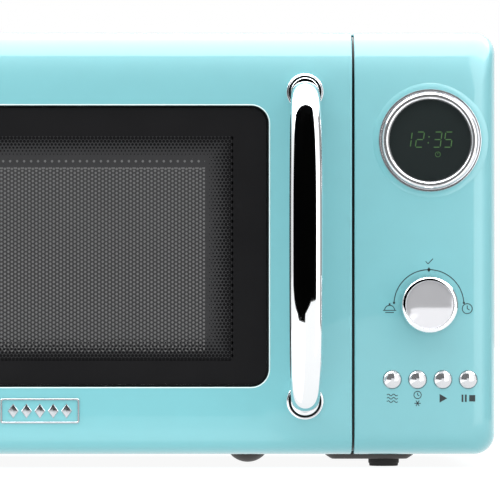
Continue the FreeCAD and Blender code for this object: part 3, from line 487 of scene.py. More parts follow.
def cutter_from(points, near, far):
    """A closed prism between two Ys, used only to carve with."""
    return welded_object("cutter", *prisms([points], near, far - near))


def block(x, y, z):
    """A box cutter between two limits on each axis."""
    return cutter_from([(x[0], z[0]), (x[1], z[0]), (x[1], z[1]), (x[0], z[1])], *y)


def plug(x, z, radius):
    """A round cutter through the panel's face."""
    return cutter_from(ring_points(x, z, radius, 96), FACE - 5, FACE + WALL + 2)


# ---------------- the bowed front

def roll_steps():
    """How far the front's edge has come in and forward, from its back to its face."""
    for step in range(ROLL_RINGS + 1):
        angle = math.radians(90 * step / ROLL_RINGS)
        inset = 1 - max(math.cos(angle), 0) ** (2 / ROLL_POWER)
        yield inset, math.sin(angle) ** (2 / ROLL_POWER)


def eased(y):
    """How far a seam's edge gives way, close to the face."""
    left = SEAM_ROUND - (y - FACE)
    return SEAM_ROUND - math.sqrt(SEAM_ROUND ** 2 - max(left, 0) ** 2)


def door_ring(inset, y, left=None):
    """The door's outline at one Y, where its edges have come in by that share."""
    left = SIDE_ROLL * inset - HALF_WIDTH if left is None else left
    return outline(left, SEAM_LEFT - eased(y), FRONT_LOW + LOW_ROLL * inset,
                   FRONT_HIGH - TOP_ROLL * inset, CORNER, SEAM_ROUND)


def panel_ring(inset, y):
    """The control panel's outline at one Y."""
    return outline(SEAM_RIGHT + eased(y), HALF_WIDTH - SIDE_ROLL * inset,
                   FRONT_LOW + LOW_ROLL * inset, FRONT_HIGH - TOP_ROLL * inset, SEAM_ROUND,
                   CORNER)


def rounded_hole(shell, grown, size, back):
    """A hole's rounded rim and its wall; returns the rim on the face and the wall's far end."""
    rings = []
    for step in range(7):
        angle = math.radians(90 * step / 6)
        rings.append(shell.ring(grown(size * (1 - math.sin(angle))),
                                FACE + size * (1 - math.cos(angle))))
    rings.append(shell.ring(grown(0), back))
    shell.loft(rings)
    return rings[0], rings[-1]


def hollow_out(shell, left, right, outer, inner, back):
    """The hollow back of a shell, between its outer ring and a ring in its front wall."""
    hollow = outline(left, right, FRONT_LOW + HOLLOW_SIDE, FRONT_HIGH - HOLLOW_TOP,
                     HOLLOW_CORNER)
    hollow_front = shell.ring(hollow, FACE + WALL)
    hollow_back = shell.ring(hollow, back)
    shell.fill(hollow_front, inner)
    shell.bridge(hollow_front, hollow_back)
    shell.fill(outer, hollow_back)


def door_shell():
    """The door's outer shell: rolled edges, window opening, hollow back and hinge corner."""
    shell = Shell()
    rings = []
    for step in range(6):
        angle = math.radians(90 * (1 - step / 6))
        left = PIVOT_X - PIVOT_ROUND * math.cos(angle)
        y = PIVOT_Y + PIVOT_ROUND * math.sin(angle)
        rings.append(shell.ring(door_ring(0, y, left), y))
    for inset, ahead in roll_steps():
        y = FRONT_BACK - FRONT_DEPTH * ahead
        if y < PIVOT_Y:
            rings.append(shell.ring(door_ring(inset, y), y))
    shell.loft(rings)
    rim, rim_back = rounded_hole(shell, lambda grow: pane_line(WINDOW_GAP + grow), WINDOW_ROUND,
                                 FACE + WALL)
    shell.fill(rings[-1], rim)
    hollow_out(shell, HOLLOW_HINGE - HALF_WIDTH, SEAM_LEFT - HOLLOW_SEAM, rings[0], rim_back,
               FRONT_BACK)
    piece = piece_from("door_shell", shell.data(), turquoise, "door",
                       ["door_frame"])
    carve(piece, [block(HINGE_SLOT_X, HINGE_SLOT_Y, (level - 0.5, level + 3.5))
                  for level in HINGE_LEVELS])
    smooth(piece)


def panel_shell():
    """The control panel's shell, with wells for the buttons, dial and display."""
    shell = Shell()
    rings = [shell.ring(panel_ring(0, 0), PANEL_BACK)]
    for inset, ahead in roll_steps():
        y = FRONT_BACK - FRONT_DEPTH * ahead
        rings.append(shell.ring(panel_ring(inset, y), y))
    shell.loft(rings)
    shell.cap(rings[-1])
    inner = outline(*CONTROLS_FIELD)
    inner_front = shell.ring(inner, FACE + CONTROLS_WALL)
    inner_back = shell.ring(inner, FACE + WALL)
    shell.cap(inner_front)
    shell.bridge(inner_front, inner_back)
    hollow_out(shell, SEAM_RIGHT + HOLLOW_SEAM, HALF_WIDTH - HOLLOW_SIDE, rings[0], inner_back,
               PANEL_BACK)
    piece = piece_from("panel_shell", shell.data(), turquoise, "housing",
                       ["control_panel"])
    wells = [(button.x, button.z, BUTTON_WELL) for button in buttons]
    wells += [(dial.x, dial.z, SHAFT_WELL), (display.x, display.z, DISPLAY_WELL)]
    carve(piece, [plug(*well) for well in wells])
    smooth(piece)


def seam_shade_strip():
    """A black strip in the seam, a little way behind the surface of the front: painted shade that
    keeps the seam dark all the way up.
    """
    shell = Shell()
    rings = []
    for x in (SEAM_RIGHT - 1.1, SEAM_RIGHT + 0.1):
        edges = []
        for end, inward, roll in ((FRONT_HIGH, -1, TOP_ROLL), (FRONT_LOW, 1, LOW_ROLL)):
            outer = []
            inner = []
            for inset, ahead in roll_steps():
                y = FRONT_BACK - (FRONT_DEPTH - SEAM_DEEP) * ahead
                z = end + inward * (SEAM_DEEP + (roll - SEAM_DEEP) * inset)
                outer.append((x, y, z))
                inner.append((x, min(y + STRIP_THICK, FRONT_BACK), z + inward * STRIP_THICK))
            edges += [outer, inner]
        outer, inner, low_outer, low_inner = edges
        rings.append(shell.ring_3d(outer + low_outer[::-1] + low_inner + inner[::-1]))
    shell.bridge(rings[0], rings[1])
    for ring in rings:
        for index in range(len(ring) // 2 - 1):
            mate = len(ring) - 1 - index
            shell.faces.append((ring[index], ring[index + 1], ring[mate - 1], ring[mate]))
    piece_from("seam_shade_strip", shell.data(), bead, "housing")


# ---------------- window

BORDER = {"half": 115.3, "low": 65.1, "high": 199.2}  # where the solid print ends
FADE = {"half": 101.6, "low": 78.0, "high": 187.2}  # where the dots end
BORDER_CORNER = 1.2
PRINT_EDGE = 0.4
DOT_PITCH_X = 2.2
DOT_PITCH_Z = 1.92
DOT_SMALL = 0.28  # radius of the last dots, and what the first ones add to it
DOT_GROWTH = 0.87
HOLE_X = 2.1  # the screen's pitch
HOLE_Z = 2.43
HOLE_RADIUS = 0.78
SCREEN_HALF = 100.4  # the punched field
SCREEN_LOW = 68.0
SCREEN_HIGH = 181.0
TOP_ROW = 184.4  # the separate row of holes above it
LIP_HALF = 0.42
LIP_HIGH = 0.65
SEAL_EDGE = 0.3
FRAME_THICK = 0.04
MIDDLE = (pane_low.x + pane_high.x) / 2


def window_print():
    """The black border printed on the pane, and its fading field of dots."""
    front = pane_low.y - 0.05
    inner_line = outline(MIDDLE - BORDER["half"], MIDDLE + BORDER["half"], BORDER["low"],
                         BORDER["high"], BORDER_CORNER)
    thin_frame("window_border_print", pane_line(-PRINT_EDGE), inner_line, front, pane_print)
    shapes = []
    rows = int((BORDER["high"] - BORDER["low"]) / DOT_PITCH_Z)
    columns = int(2 * BORDER["half"] / DOT_PITCH_X)
    for row in range(rows + 1):
        z = BORDER["low"] + DOT_PITCH_Z * (row + 0.3)
        for column in range(columns + 1):
            x = MIDDLE - BORDER["half"] + DOT_PITCH_X * (column + 0.25 + 0.5 * (row % 2))
            across = (abs(x - MIDDLE) - FADE["half"]) / (BORDER["half"] - FADE["half"])
            down = (FADE["low"] - z) / (FADE["low"] - BORDER["low"])
            up = (z - FADE["high"]) / (BORDER["high"] - FADE["high"])
            depth = max(across, down, up)
            if 0.02 < depth < 1.03:
                radius = DOT_SMALL + DOT_GROWTH * min(depth, 1) ** 0.9
                shapes.append(ring_points(x, z, radius, 10))
    piece_from("window_dot_print", prisms(shapes, front, FRAME_THICK), ceramic_ink, "door")


def window_lip():
    """The thin bead around the window opening, pale as a painted highlight along its rim, and the
    seal in the gap behind it.
    """
    shell = Shell()
    rings = []
    for step in range(13):
        angle = math.radians(180 * step / 12)
        gap = WINDOW_GAP + LIP_HALF - 0.05 - LIP_HALF * math.cos(angle)
        rings.append(shell.ring(pane_line(gap), FACE + 0.35 - LIP_HIGH * math.sin(angle)))
    shell.loft(rings, closed=True)
    piece_from("window_lip", shell.data(), highlight_pale_bead, "door")
    thin_frame("window_seal", pane_line(WINDOW_GAP + SEAL_EDGE), pane_line(-SEAL_EDGE),
               pane_low.y + 1, bead)


def punched(shell, cell, x, z, front, back):
    """One cell of the screen, with a hole in its middle that goes through the sheet."""
    turns = [math.atan2(b - z, a - x) for a, b in cell]
    hole = [(x + HOLE_RADIUS * math.cos(turn), z + HOLE_RADIUS * math.sin(turn))
            for turn in turns]
    cell_front = shell.ring(cell, front)
    hole_front = shell.ring(hole, front)
    hole_back = shell.ring(hole, back)
    shell.loft([cell_front, hole_front, hole_back])


def perforated_screen():
    """The dark metal screen: a plain frame, a field of punched holes and the film behind, both
    glowing as painted light.
    """
    low, high = box_mm("door_screen_panel")
    columns = int(2 * SCREEN_HALF / HOLE_X)
    rows = int((SCREEN_HIGH - SCREEN_LOW) / HOLE_Z)
    shell = Shell()
    start_x = MIDDLE - HOLE_X * (columns - 1) / 2
    for column in range(columns):
        x = start_x + HOLE_X * column
        for row in range(rows):
            z = SCREEN_LOW + HOLE_Z * (row + 0.5 * (column % 2) + 0.5)
            half_x, half_z = HOLE_X / 2, HOLE_Z / 2
            cell = [(x + half_x, z), (x + half_x, z + half_z), (x, z + half_z),
                    (x - half_x, z + half_z), (x - half_x, z), (x - half_x, z - half_z),
                    (x, z - half_z), (x + half_x, z - half_z)]
            punched(shell, cell, x, z, low.y, high.y)
    top = SCREEN_LOW + HOLE_Z * (rows + 0.5)
    strip = (top - 0.3, 2 * TOP_ROW - top + 0.3)
    for column in range(0, columns, 2):
        x = start_x + HOLE_X * (column + 0.5)
        cell = outline(x - HOLE_X, x + HOLE_X, strip[0], strip[1], 0, run=2)
        punched(shell, cell, x, TOP_ROW, low.y - 0.01, high.y)
    piece_from("perforated_screen", shell.data(), glowing_screen_metal, "door",
               ["door_screen_panel"])
    left = start_x - HOLE_X * 0.3
    right = start_x + HOLE_X * (columns - 0.7)
    outer = outline(low.x, high.x, low.z, high.z, 7)
    inner = outline(left, right, SCREEN_LOW + HOLE_Z * 0.6, strip[1] - 0.2, 0.4)
    thin_frame("screen_frame", outer, inner, low.y - 0.06, glowing_screen_metal,
               ["door_screen_panel"])
    film = prisms([outline(left - 4, right + 4, SCREEN_LOW - 3, strip[1] + 4, 2)],
                  high.y + 0.05, 0.3)
    piece_from("backing_film", film, glowing_film_back, "door", ["inner_film"])


def thin_frame(name, outer, inner, front, material, replaced=()):
    """A thin flat ring between two outlines, on the door."""
    shell = Shell()
    rings = [shell.ring(line, y) for line in (outer, inner)
             for y in (front, front + FRAME_THICK)]
    shell.fill(rings[0], rings[2])
    shell.fill(rings[1], rings[3])
    shell.bridge(rings[0], rings[1])
    shell.bridge(rings[2], rings[3])
    piece_from(name, shell.data(), material, "door", replaced)


# ---------------- handle and badge

HANDLE_REACH = 29.5
HANDLE_COLLAR = 5  # how far out of the face the bow's ends start
HANDLE_STEPS = 120
SECTION_STEPS = 64
TURNED_STEPS = 96


def door_handle():
    """The chrome bow: oval sections along half a superellipse between the two roses.

    A section is 16 by 14 mm at the ends, and grows to 20 by 11 mm in the middle.
    """
    middle = (handle_low + handle_high) / 2
    half_span = (handle_high - handle_low) / 2
    start = math.asin((HANDLE_COLLAR / HANDLE_REACH) ** 1.5)
    sideways = Vector((1, 0, 0))
    shell = Shell()
    rings = []
    for step in range(HANDLE_STEPS + 1):
        angle = start + (math.pi - 2 * start) * step / HANDLE_STEPS
        across = math.copysign(abs(math.cos(angle)) ** (2 / 3), math.cos(angle))
        out = math.sin(angle) ** (2 / 3)
        centre = Vector((handle_x, FACE - HANDLE_REACH * out, middle + half_span * across))
        slope_out = math.cos(angle) * math.sin(angle) ** (-1 / 3)
        slope_across = -math.sin(angle) * max(abs(math.cos(angle)), 1e-3) ** (-1 / 3)
        along = Vector((0, -HANDLE_REACH * slope_out, half_span * slope_across)).normalized()
        if step in (0, HANDLE_STEPS):
            along = Vector((0, -1 if step == 0 else 1, 0))
        blend = math.sin(angle) ** 0.8
        wide = 16 + 4 * blend
        deep = 14 - 3 * blend
        outward = sideways.cross(along)
        points = []
        for turn in range(SECTION_STEPS):
            around = 2 * math.pi * turn / SECTION_STEPS
            points.append(centre + sideways * (wide / 2 * math.cos(around))
                          + outward * (deep / 2 * math.sin(around)))
        rings.append(shell.ring_3d(points))
    shell.loft(rings)
    shell.cap_ends(rings[0], rings[-1])
    piece_from("handle_bow", shell.data(), chrome, "door", ["door_handle"])


def roses():
    """The two collars under the handle: a bead, a dark washer and a short sleeve."""
    edge = [(8.9, -0.6), (11.2, -0.6), (11.2, 0.7)]
    edge += arc_profile(10.45, 1, 0.75, 180, 10, high=0.9) + [(9.7, 0.5), (8.9, 0.5)]
    washer = [(8.3, 0.1), (9.8, 0.1), (9.8, 0.75), (8.3, 0.75)]
    sleeve = [(6.8, 0), (8.5, 0), (8.5, 3.6)] + arc_profile(7.9, 4, 0.6, 90, 6) + [(6.8, 4.6)]
    for name, level in (("lower", handle_low), ("upper", handle_high)):
        place = (handle_x, FACE, level, TURNED_STEPS)
        turned_piece(f"rose_bead_{name}", edge, *place, chrome, "door", "chrome_trim",
                     ["handle_roses"])
        turned_piece(f"rose_washer_{name}", washer, *place, groove_black, "door", "gasket")
        turned_piece(f"rose_sleeve_{name}", sleeve, *place, chrome, "door", "chrome_trim",
                     ["handle_roses"])


LOZENGE_PITCH = 8
LOZENGE_RINGS = ((3.2, 4.4, 0), (3.2, 4.4, 0.35), (2.9, 4.0, 0.6), (0.05, 1.4, 1))


def badge():
    """A bright frame around a row of upright lozenges: a generic ornament."""
    left, right = badge_low.x, badge_high.x
    low, high = badge_low.z, badge_high.z
    front = badge_low.y
    shell = Shell()
    rings = []
    for edge, corner, y in ((0, 1.2, FACE), (0, 1.2, front + 0.25), (0.25, 1, front),
                            (0.75, 0.7, front), (1, 0.6, front + 0.25), (1, 0.6, FACE)):
        rings.append(shell.ring(outline(left + edge, right - edge, low + edge, high - edge,
                                        corner), y))
    shell.loft(rings, closed=True)
    middle = (left + right) / 2
    centre = (low + high) / 2
    for index in range(-2, 3):
        x = middle + LOZENGE_PITCH * index
        rings = []
        for wide, tall, out in LOZENGE_RINGS:
            points = [(x - wide, centre), (x, centre - tall), (x + wide, centre),
                      (x, centre + tall)]
            rings.append(shell.ring(points, FACE - out * (FACE - front)))
        shell.loft(rings)
        shell.cap_ends(rings[-1], rings[0])
    piece_from("badge_ornament", shell.data(), badge_metal, "door",
               ["door_badge"])


# ---------------- display, dial, legends

ROUND_STEPS = 128
LENS_RADIUS = 24.4
LENS_CURVE = 296  # the radius of the lens's sphere
BUTTON_RADIUS = 5.3
BUTTON_FLANGE = 1.4
BUTTON_RIM = 0.8  # how far the rim stands out of the face
DOME_STEPS = 15
DIAL_RADIUS = 17
DIAL_ROLL = 2.4
DIAL_BORE = 3.05
FACE_RADIUS = 14.1  # the dial's hollow face
FACE_HOLLOW = 1.1


def display_parts():
    """The chrome bezel on its raised seat, the smoked lens and the lit clock."""
    x, z = display.x, display.z
    seat = [(29, -3.5), (35, -3.5), (35, -0.3), (34.2, 0.05), (33.4, 0.4), (32.4, 0.7),
            (31.4, 0.8), (29, 0.8)]
    turned_piece("display_seat", seat, x, FACE, z, ROUND_STEPS, turquoise, "housing",
                 "turquoise_shell")
    bezel = [(24.4, -4), (27.6, -4), (27.6, 0), (30.9, 0), (30.9, 1.3), (30.7, 1.65),
             (30.2, 1.75), (29.5, 1.55), (29.25, 1.3), (29.1, 1.9)]
    bezel += arc_profile(26.8, 1.9, 2.25, 166, 20, start=8, high=2.5)
    bezel += [(24.5, 2), (24.4, 1.5)]
    turned_piece("bezel_ring", bezel, x, FACE, z, ROUND_STEPS, bezel_metal, "housing",
                 "chrome_trim", ["display_bezel"])
    lens = []
    for step in range(13):
        radius = LENS_RADIUS * step / 12
        lens.append((radius, 1.25 - radius ** 2 / (2 * LENS_CURVE)))
    lens += [(LENS_RADIUS, -2.4), (0, -2.4)]
    turned_piece("lens_dome", lens, x, FACE, z, TURNED_STEPS, lens_face, "housing", "lens",
                 ["display_lens"])
    clock_digits(x, z)


SEGMENTS = {"1": "bc", "2": "abged", "3": "abgcd", "5": "afgcd"}
DIGIT_WIDE = 4.3
DIGIT_HIGH = 9.1
DIGIT_LEAN = 0.13
DIGIT_LINE = 0.55
SEGMENT_GAP = 0.45


def digit_strokes(digit, x, z):
    """The seven-segment strokes of one digit, leaning to the right."""
    gap, wide, half, high = SEGMENT_GAP, DIGIT_WIDE, DIGIT_HIGH / 2, DIGIT_HIGH
    ends = {
        "a": ((gap, high), (wide - gap, high)),
        "b": ((wide, half + gap), (wide, high - gap)),
        "c": ((wide, gap), (wide, half - gap)),
        "d": ((gap, 0), (wide - gap, 0)),
        "e": ((0, gap), (0, half - gap)),
        "f": ((0, half + gap), (0, high - gap)),
        "g": ((gap, half), (wide - gap, half)),
    }
    shapes = []
    for name in SEGMENTS[digit]:
        shapes += stroke([(x + a + DIGIT_LEAN * b, z + b) for a, b in ends[name]], DIGIT_LINE)
    return shapes


def clock_digits(x, z):
    """The lit time, and the small clock sign below it."""
    low = z - 4.1
    shapes = []
    for digit, shift in zip("1235", (-16.2, -8.9, 1.7, 8.2)):
        shapes += digit_strokes(digit, x + shift, low)
    for height in (2.6, 6.2):
        shapes.append(ring_points(x - 1.5 + DIGIT_LEAN * height, low + height, 0.4, 12))
    icon = arc_points(x + 4.6, z - 8.4, 1.5, 0, 360, 24)
    shapes += stroke(icon, 0.3)
    shapes += stroke([(x + 4.6, z - 8.4), (x + 4.6, z - 7.4)], 0.3)
    piece_from("clock_digits", prisms(shapes, FACE - 1.32, 0.1), lit_green, "housing")


def domed_buttons():
    """Four chrome buttons, each a short barrel with a low dome."""
    for number, middle in enumerate(buttons, 1):
        low, high = box_mm(f"button_{number}")
        back = high.y
        front = back - low.y
        rim = FACE - BUTTON_RIM
        rise = rim - low.y
        flange = BUTTON_RADIUS + BUTTON_FLANGE
        dome = BUTTON_RADIUS - 0.15
        profile = [(0, 0), (flange, 0), (flange, BUTTON_FLANGE), (BUTTON_RADIUS, BUTTON_FLANGE),
                   (BUTTON_RADIUS, back - rim - 0.3), (dome, back - rim)]
        for step in range(1, DOME_STEPS + 1):
            part = 1 - step / DOME_STEPS
            profile.append((dome * part, front - rise * part ** 2))
        turned_piece(f"domed_button_{number}", profile, middle.x, back, middle.z, SECTION_STEPS,
                     button_metal, f"push_button_{number}", "chrome_trim", [f"button_{number}"])


def dial_knob():
    """The chrome dial: a straight skirt, a rolled rim and a slightly hollow face."""
    low, high = box_mm("knob")
    x, z = dial.x, dial.z
    deep = high.y - low.y
    profile = [(DIAL_BORE, 0.4), (15.6, 0.4), (16.6, 0), (DIAL_RADIUS, 0.4), (DIAL_RADIUS, 1.2)]
    profile += arc_profile(DIAL_RADIUS - DIAL_ROLL, deep - DIAL_ROLL, DIAL_ROLL, 90, 10)
    profile += [(14.5, deep - 0.1), (14.35, deep - 0.6), (14.35, deep - DIAL_ROLL),
                (DIAL_BORE, deep - DIAL_ROLL)]
    turned_piece("dial_knob", profile, x, high.y, z, ROUND_STEPS, chrome, "dial", "chrome_trim",
                 ["knob"])
    face = [(0, deep - 3), (14.3, deep - 3), (14.3, deep - 1.3)]
    for step in range(13):
        part = 1 - step / 12
        face.append((FACE_RADIUS * part, deep - 0.02 - FACE_HOLLOW * part ** 2))
    turned_piece("dial_face", face, x, high.y, z, ROUND_STEPS, bright_metal, "dial", "chrome_trim",
                 ["knob"])


LINE = 0.5  # the width of an icon's lines
MARK_RADIUS = 21  # the arc round the dial
ICON_DROP = 11.2  # from a button's middle down to its icon


def legends():
    """Generic printed marks: the dial's arc with its signs, and an icon for each button."""
    x, z = dial.x, dial.z
    shapes = stroke(arc_points(x, z, MARK_RADIUS, 4, 176, 44), 0.55)
    for angle in (3, 177):
        spot = arc_points(x, z, MARK_RADIUS, angle, angle, 1)[0]
        shapes.append(ring_points(*spot, 0.7, 16))
    top = z + MARK_RADIUS
    shapes.append([(x - 1.1, top), (x, top - 1.5), (x + 1.1, top), (x, top + 1.5)])
    shapes += stroke([(x - 2, z + 26), (x - 0.5, z + 24.5), (x + 2.4, z + 27.6)], LINE)
    shapes += dish_icon(x - 23.6, z - 2.4)
    shapes += clock_icon(x + 23, z - 2.4)
    level = buttons[0].z - ICON_DROP
    for icon, button in zip((power_icon, preset_icon, start_icon, stop_icon), buttons):
        shapes += icon(button.x, level)
    piece_from("panel_legends", prisms(shapes, FACE - 0.04, 0.03), print_ink, "housing")


def dish_icon(x, z):
    """A covered dish: a dome with its knob on a line."""
    shapes = stroke(arc_points(x, z - 1, 3, 0, 180, 16), LINE)
    shapes += stroke([(x - 4, z - 1), (x + 4, z - 1)], LINE)
    shapes += stroke([(x - 2.6, z - 2.3), (x + 2.6, z - 2.3)], LINE)
    return shapes + [ring_points(x, z + 2.7, 0.6, 12)]


def clock_icon(x, z):
    """A clock's face with its hands."""
    shapes = stroke(arc_points(x, z, 3, 0, 360, 28), LINE)
    return shapes + stroke([(x, z + 1.9), (x, z), (x + 1.4, z - 0.8)], LINE)


def power_icon(x, z):
    """Three waves."""
    shapes = []
    for level in (-2, 0, 2):
        wave = [(x - 3.2 + 0.32 * step, z + level + 0.55 * math.sin(step * math.pi / 5))
                for step in range(21)]
        shapes += stroke(wave, LINE)
    return shapes


def preset_icon(x, z):
    """A clock above a snow star."""
    shapes = stroke(arc_points(x, z + 2, 2.2, 0, 360, 24), LINE)
    shapes += stroke([(x, z + 3.3), (x, z + 2), (x + 1, z + 1.5)], LINE)
    for angle in (0, 60, 120):
        ends = [arc_points(x, z - 3, 1.9, angle + turn, angle + turn, 1)[0] for turn in (0, 180)]
        shapes += stroke(ends, LINE)
    return shapes


def start_icon(x, z):
    """A triangle that points to the right."""
    return [[(x - 2, z - 2.6), (x + 2.6, z), (x - 2, z + 2.6)]]


def stop_icon(x, z):
    """Two bars and a square."""
    bars = [[(x + left, z - 2.2), (x + left + 1.1, z - 2.2), (x + left + 1.1, z + 2.2),
             (x + left, z + 2.2)] for left in (-4, -2)]
    return bars + [[(x + 0.6, z - 1.9), (x + 4.2, z - 1.9), (x + 4.2, z + 1.9),
                    (x + 0.6, z + 1.9)]]


# ---------------- feet

PAD_LONG = 54
PAD_HALF = 16  # half of a pad's depth
PAD_CORNER = 8
FOOT_RADIUS = 9.3


def drawn_pads():
    """The four pads pressed out of the base sheet, and the rubber feet on them."""
    low, high = box_mm("foot_pads")
    sole_low, sole_high = box_mm("rubber_feet")
    shell = Shell()
    for side in (-1, 1):
        for end in (-1, 1):
            outer_x = high.x if side > 0 else low.x
            inner_x = outer_x - side * PAD_LONG
            middle_y = (low.y + PAD_HALF) if end < 0 else (high.y - PAD_HALF)
            left, right = sorted((outer_x, inner_x))
            rings = []
            for taper, z in ((0, high.z + 0.4), (0, high.z - 0.3), (0.6, high.z - 1.2),
                             (3.4, low.z + 0.5), (4.4, low.z)):
                points = outline(left + taper, right - taper, middle_y - PAD_HALF + taper,
                                 middle_y + PAD_HALF - taper, PAD_CORNER - taper, run=4)
                rings.append(shell.ring_3d([(x, y, z) for x, y in points]))
            shell.loft(rings)
            shell.cap_ends(rings[-1], rings[0])
    piece_from("drawn_pads", shell.data(), underside, "housing", ["foot_pads"])
    feet = Shell()
    profile = [(0, 0.7), (5.2, 0.7), (5.6, 0), (8.2, 0), (8.7, 0.3), (8.8, 1.6), (9.2, 1.9),
               (FOOT_RADIUS, 2.4), (FOOT_RADIUS, sole_high.z), (0, sole_high.z)]
    for x in (sole_low.x + FOOT_RADIUS, sole_high.x - FOOT_RADIUS):
        for y in (sole_low.y + FOOT_RADIUS, sole_high.y - FOOT_RADIUS):
            rings = []
            for radius, z in profile:
                circle = ring_points(x, y, max(radius, 0.01), SECTION_STEPS)
                rings.append(feet.ring_3d([(a, b, z) for a, b in circle]))
            feet.loft(rings)
    piece_from("turned_feet", feet.data(), rubber, "housing", ["rubber_feet"])


# ---------------- stage, lights, camera

CARD_Y = -0.5  # the stage's sizes are in metres
NEAR_Y = -0.3
CARD_EDGE = 0.248  # where the near black card ends and the lit one starts
CARD_FOOT = 0.002
CARD_TOP = 0.4
FLOOR_DROP = 0.0002
FLOOR_HALF = 6
FLOOR_GLOW = 0.93
FLOOR_ALBEDO = 0.15
BOUNCE_GLOW = 1.8
SKY_LIGHT = [(0.0, 0.9), (0.5, 1.15), (0.66, 1.4), (0.72, 1.8), (1.0, 1.8)]
SKY_GLOSS = [(0.0, 0.9), (0.3, 1.1), (0.42, 2.4), (0.5, 7.0), (1.0, 7.0)]

# Upright cards in front of the oven: name, glow, Y, and their outline in X and Z.
FRONT_CARDS = [
    ("far_card", 0.0, CARD_Y,
     [(-0.6, 0.09), (-0.2, 0.06), (-0.08, 0.036), (0.1, 0.036), (0.1, CARD_TOP),
      (-0.6, CARD_TOP)]),
    ("near_card", 0.0, NEAR_Y,
     [(-0.17, 0.1), (-0.1, 0.09), (0.0, 0.078), (0.09, 0.074), (0.16, 0.09),
      (CARD_EDGE, 0.09), (CARD_EDGE, CARD_TOP), (-0.17, CARD_TOP)]),
    ("top_card", 6.5, NEAR_Y, [(-0.6, CARD_TOP), (0.6, CARD_TOP), (0.6, 0.95), (-0.6, 0.95)]),
    ("edge_card", 2.6, NEAR_Y,
     [(CARD_EDGE, CARD_FOOT), (0.45, CARD_FOOT), (0.45, CARD_TOP), (CARD_EDGE, CARD_TOP)]),
]
# Upright cards beside it: name, glow, and the two ends of their foot in X and Y.
SIDE_CARDS = [("grey_card", 0.3, (0.95, -0.3), (0.95, 0.7)),
              ("side_card", 1.3, (0.47, CARD_Y), (0.94, -0.3))]
SIDE_CARD_TOP = 0.6


def flat_card(name, corners, glow, albedo=0.0):
    """A flat card on the stage, evenly lit: it gives off light, and scatters a little."""
    material = bpy.data.materials.new(name)
    material.use_nodes = True
    set_sockets(material.node_tree.nodes["Principled BSDF"],
                {"Base Color": (albedo, albedo, albedo, 1), "Roughness": 0.9,
                 "Specular IOR Level": 0, "Emission Color": (1, 1, 1, 1),
                 "Emission Strength": glow})
    mesh = bpy.data.meshes.new(name)
    mesh.from_pydata([Vector(corner) for corner in corners], [], [range(len(corners))])
    mesh.materials.append(material)
    card = linked(name, mesh)
    return card


def glossy_card(name, corners, glow):
    """A card that is seen in reflections only."""
    card = flat_card(name, corners, glow)
    card.visible_camera = False
    card.visible_diffuse = False
    card.visible_shadow = False
    card.visible_transmission = False


def softbox(name, place, target, wide, tall, power):
    """A rectangular lamp that lights the oven, and is never seen itself."""
    lamp = bpy.data.lights.new(name, "AREA")
    lamp.shape = "RECTANGLE"
    lamp.size = wide
    lamp.size_y = tall
    lamp.energy = power
    light = linked(name, lamp)
    light.location = place
    light.rotation_euler = (Vector(target) - Vector(place)).to_track_quat("-Z", "Y").to_euler()
    light.visible_camera = False
    light.visible_glossy = False


def sky_ramp(tree, height, levels):
    """Grey levels over the height of the sky."""
    ramp = tree.nodes.new("ShaderNodeValToRGB")
    stops = ramp.color_ramp.elements
    while len(stops) < len(levels):
        stops.new(0.5)
    for stop, (position, level) in zip(stops, levels):
        stop.position = position
        stop.color = (level, level, level, 1)
    tree.links.new(height, ramp.inputs["Fac"])
    return ramp.outputs["Color"]


def sky_choice(tree, test, usual, special=None):
    """The usual colour, or where the test holds the special one, which may be plain white."""
    choose = tree.nodes.new("ShaderNodeMix")
    choose.data_type = "RGBA"
    tree.links.new(test, choose.inputs["Factor"])
    tree.links.new(usual, choose.inputs["A"])
    choose.inputs["B"].default_value = (1, 1, 1, 1)
    if special is not None:
        tree.links.new(special, choose.inputs["B"])
    return choose.outputs["Result"]


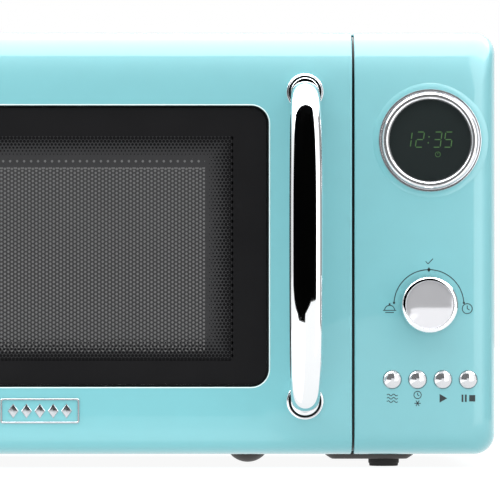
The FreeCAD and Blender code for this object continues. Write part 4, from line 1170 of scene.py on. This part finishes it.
def studio_sky():
    """White to the camera; for the light, a dome that is brightest overhead."""
    world = bpy.data.worlds.new("studio")
    world.use_nodes = True
    tree = world.node_tree
    place = tree.nodes.new("ShaderNodeTexCoord")
    split = tree.nodes.new("ShaderNodeSeparateXYZ")
    tree.links.new(place.outputs["Generated"], split.inputs["Vector"])
    path = tree.nodes.new("ShaderNodeLightPath")
    soft = sky_ramp(tree, split.outputs["Z"], SKY_LIGHT)
    gloss = sky_ramp(tree, split.outputs["Z"], SKY_GLOSS)
    seen = sky_choice(tree, path.outputs["Is Glossy Ray"], soft, gloss)
    seen = sky_choice(tree, path.outputs["Is Camera Ray"], seen)
    tree.links.new(seen, tree.nodes["Background"].inputs["Color"])
    tree.nodes["Background"].inputs["Strength"].default_value = 1.0
    scene.world = world


def stage_and_light():
    """The floor, the cards that the bright parts reflect, and the lights."""
    flat_card("floor", [(x * FLOOR_HALF, y * FLOOR_HALF, -FLOOR_DROP)
                        for x, y in ((-1, -1), (1, -1), (1, 1), (-1, 1))],
              FLOOR_GLOW, FLOOR_ALBEDO)
    for name, glow, y, edge in FRONT_CARDS:
        glossy_card(name, [(x, y, z) for x, z in edge], glow)
    for name, glow, start, end in SIDE_CARDS:
        glossy_card(name, [(*start, CARD_FOOT), (*end, CARD_FOOT), (*end, SIDE_CARD_TOP),
                           (*start, SIDE_CARD_TOP)], glow)
    edge = ((-0.6, -0.85), (0.1, -0.85), (0.1, -0.16), (-0.6, -0.16))
    bounce = flat_card("bounce_card", [(x, y, 0.001) for x, y in edge], BOUNCE_GLOW)
    bounce.visible_camera = False
    bounce.visible_shadow = False
    softbox("strip_box", (0, CARD_Y - 0.02, 0.72), (0, -0.12, 0.24), 1.5, 0.1, 1.0)
    studio_sky()


CAMERA_AWAY = 5000  # from the face; these three are in millimetres
CAMERA_LEVEL = 131
VIEW_MIDDLE = 79.5
VIEW_WIDE = 0.3  # in metres
SENSOR_WIDE = 36


def camera():
    """A long lens on to the right-hand part of the front, as a product shot."""
    lens = bpy.data.cameras.new("camera")
    eye = Vector((0, FACE - CAMERA_AWAY, CAMERA_LEVEL)) * MM
    target = Vector((VIEW_MIDDLE, FACE, CAMERA_LEVEL)) * MM
    lens.sensor_width = SENSOR_WIDE
    lens.lens = SENSOR_WIDE * (target - eye).length / VIEW_WIDE
    lens.clip_start = 0.01
    holder = linked("camera", lens)
    holder.location = eye
    holder.rotation_euler = (target - eye).to_track_quat("-Z", "Y").to_euler()
    scene.camera = holder


# ---------------- everything

scene.view_settings.view_transform = "Standard"
camera()
stage_and_light()
dress_cad_nodes()
door_shell()
panel_shell()
seam_shade_strip()
window_lip()
window_print()
perforated_screen()
door_handle()
roses()
badge()
display_parts()
domed_buttons()
dial_knob()
legends()
drawn_pads()
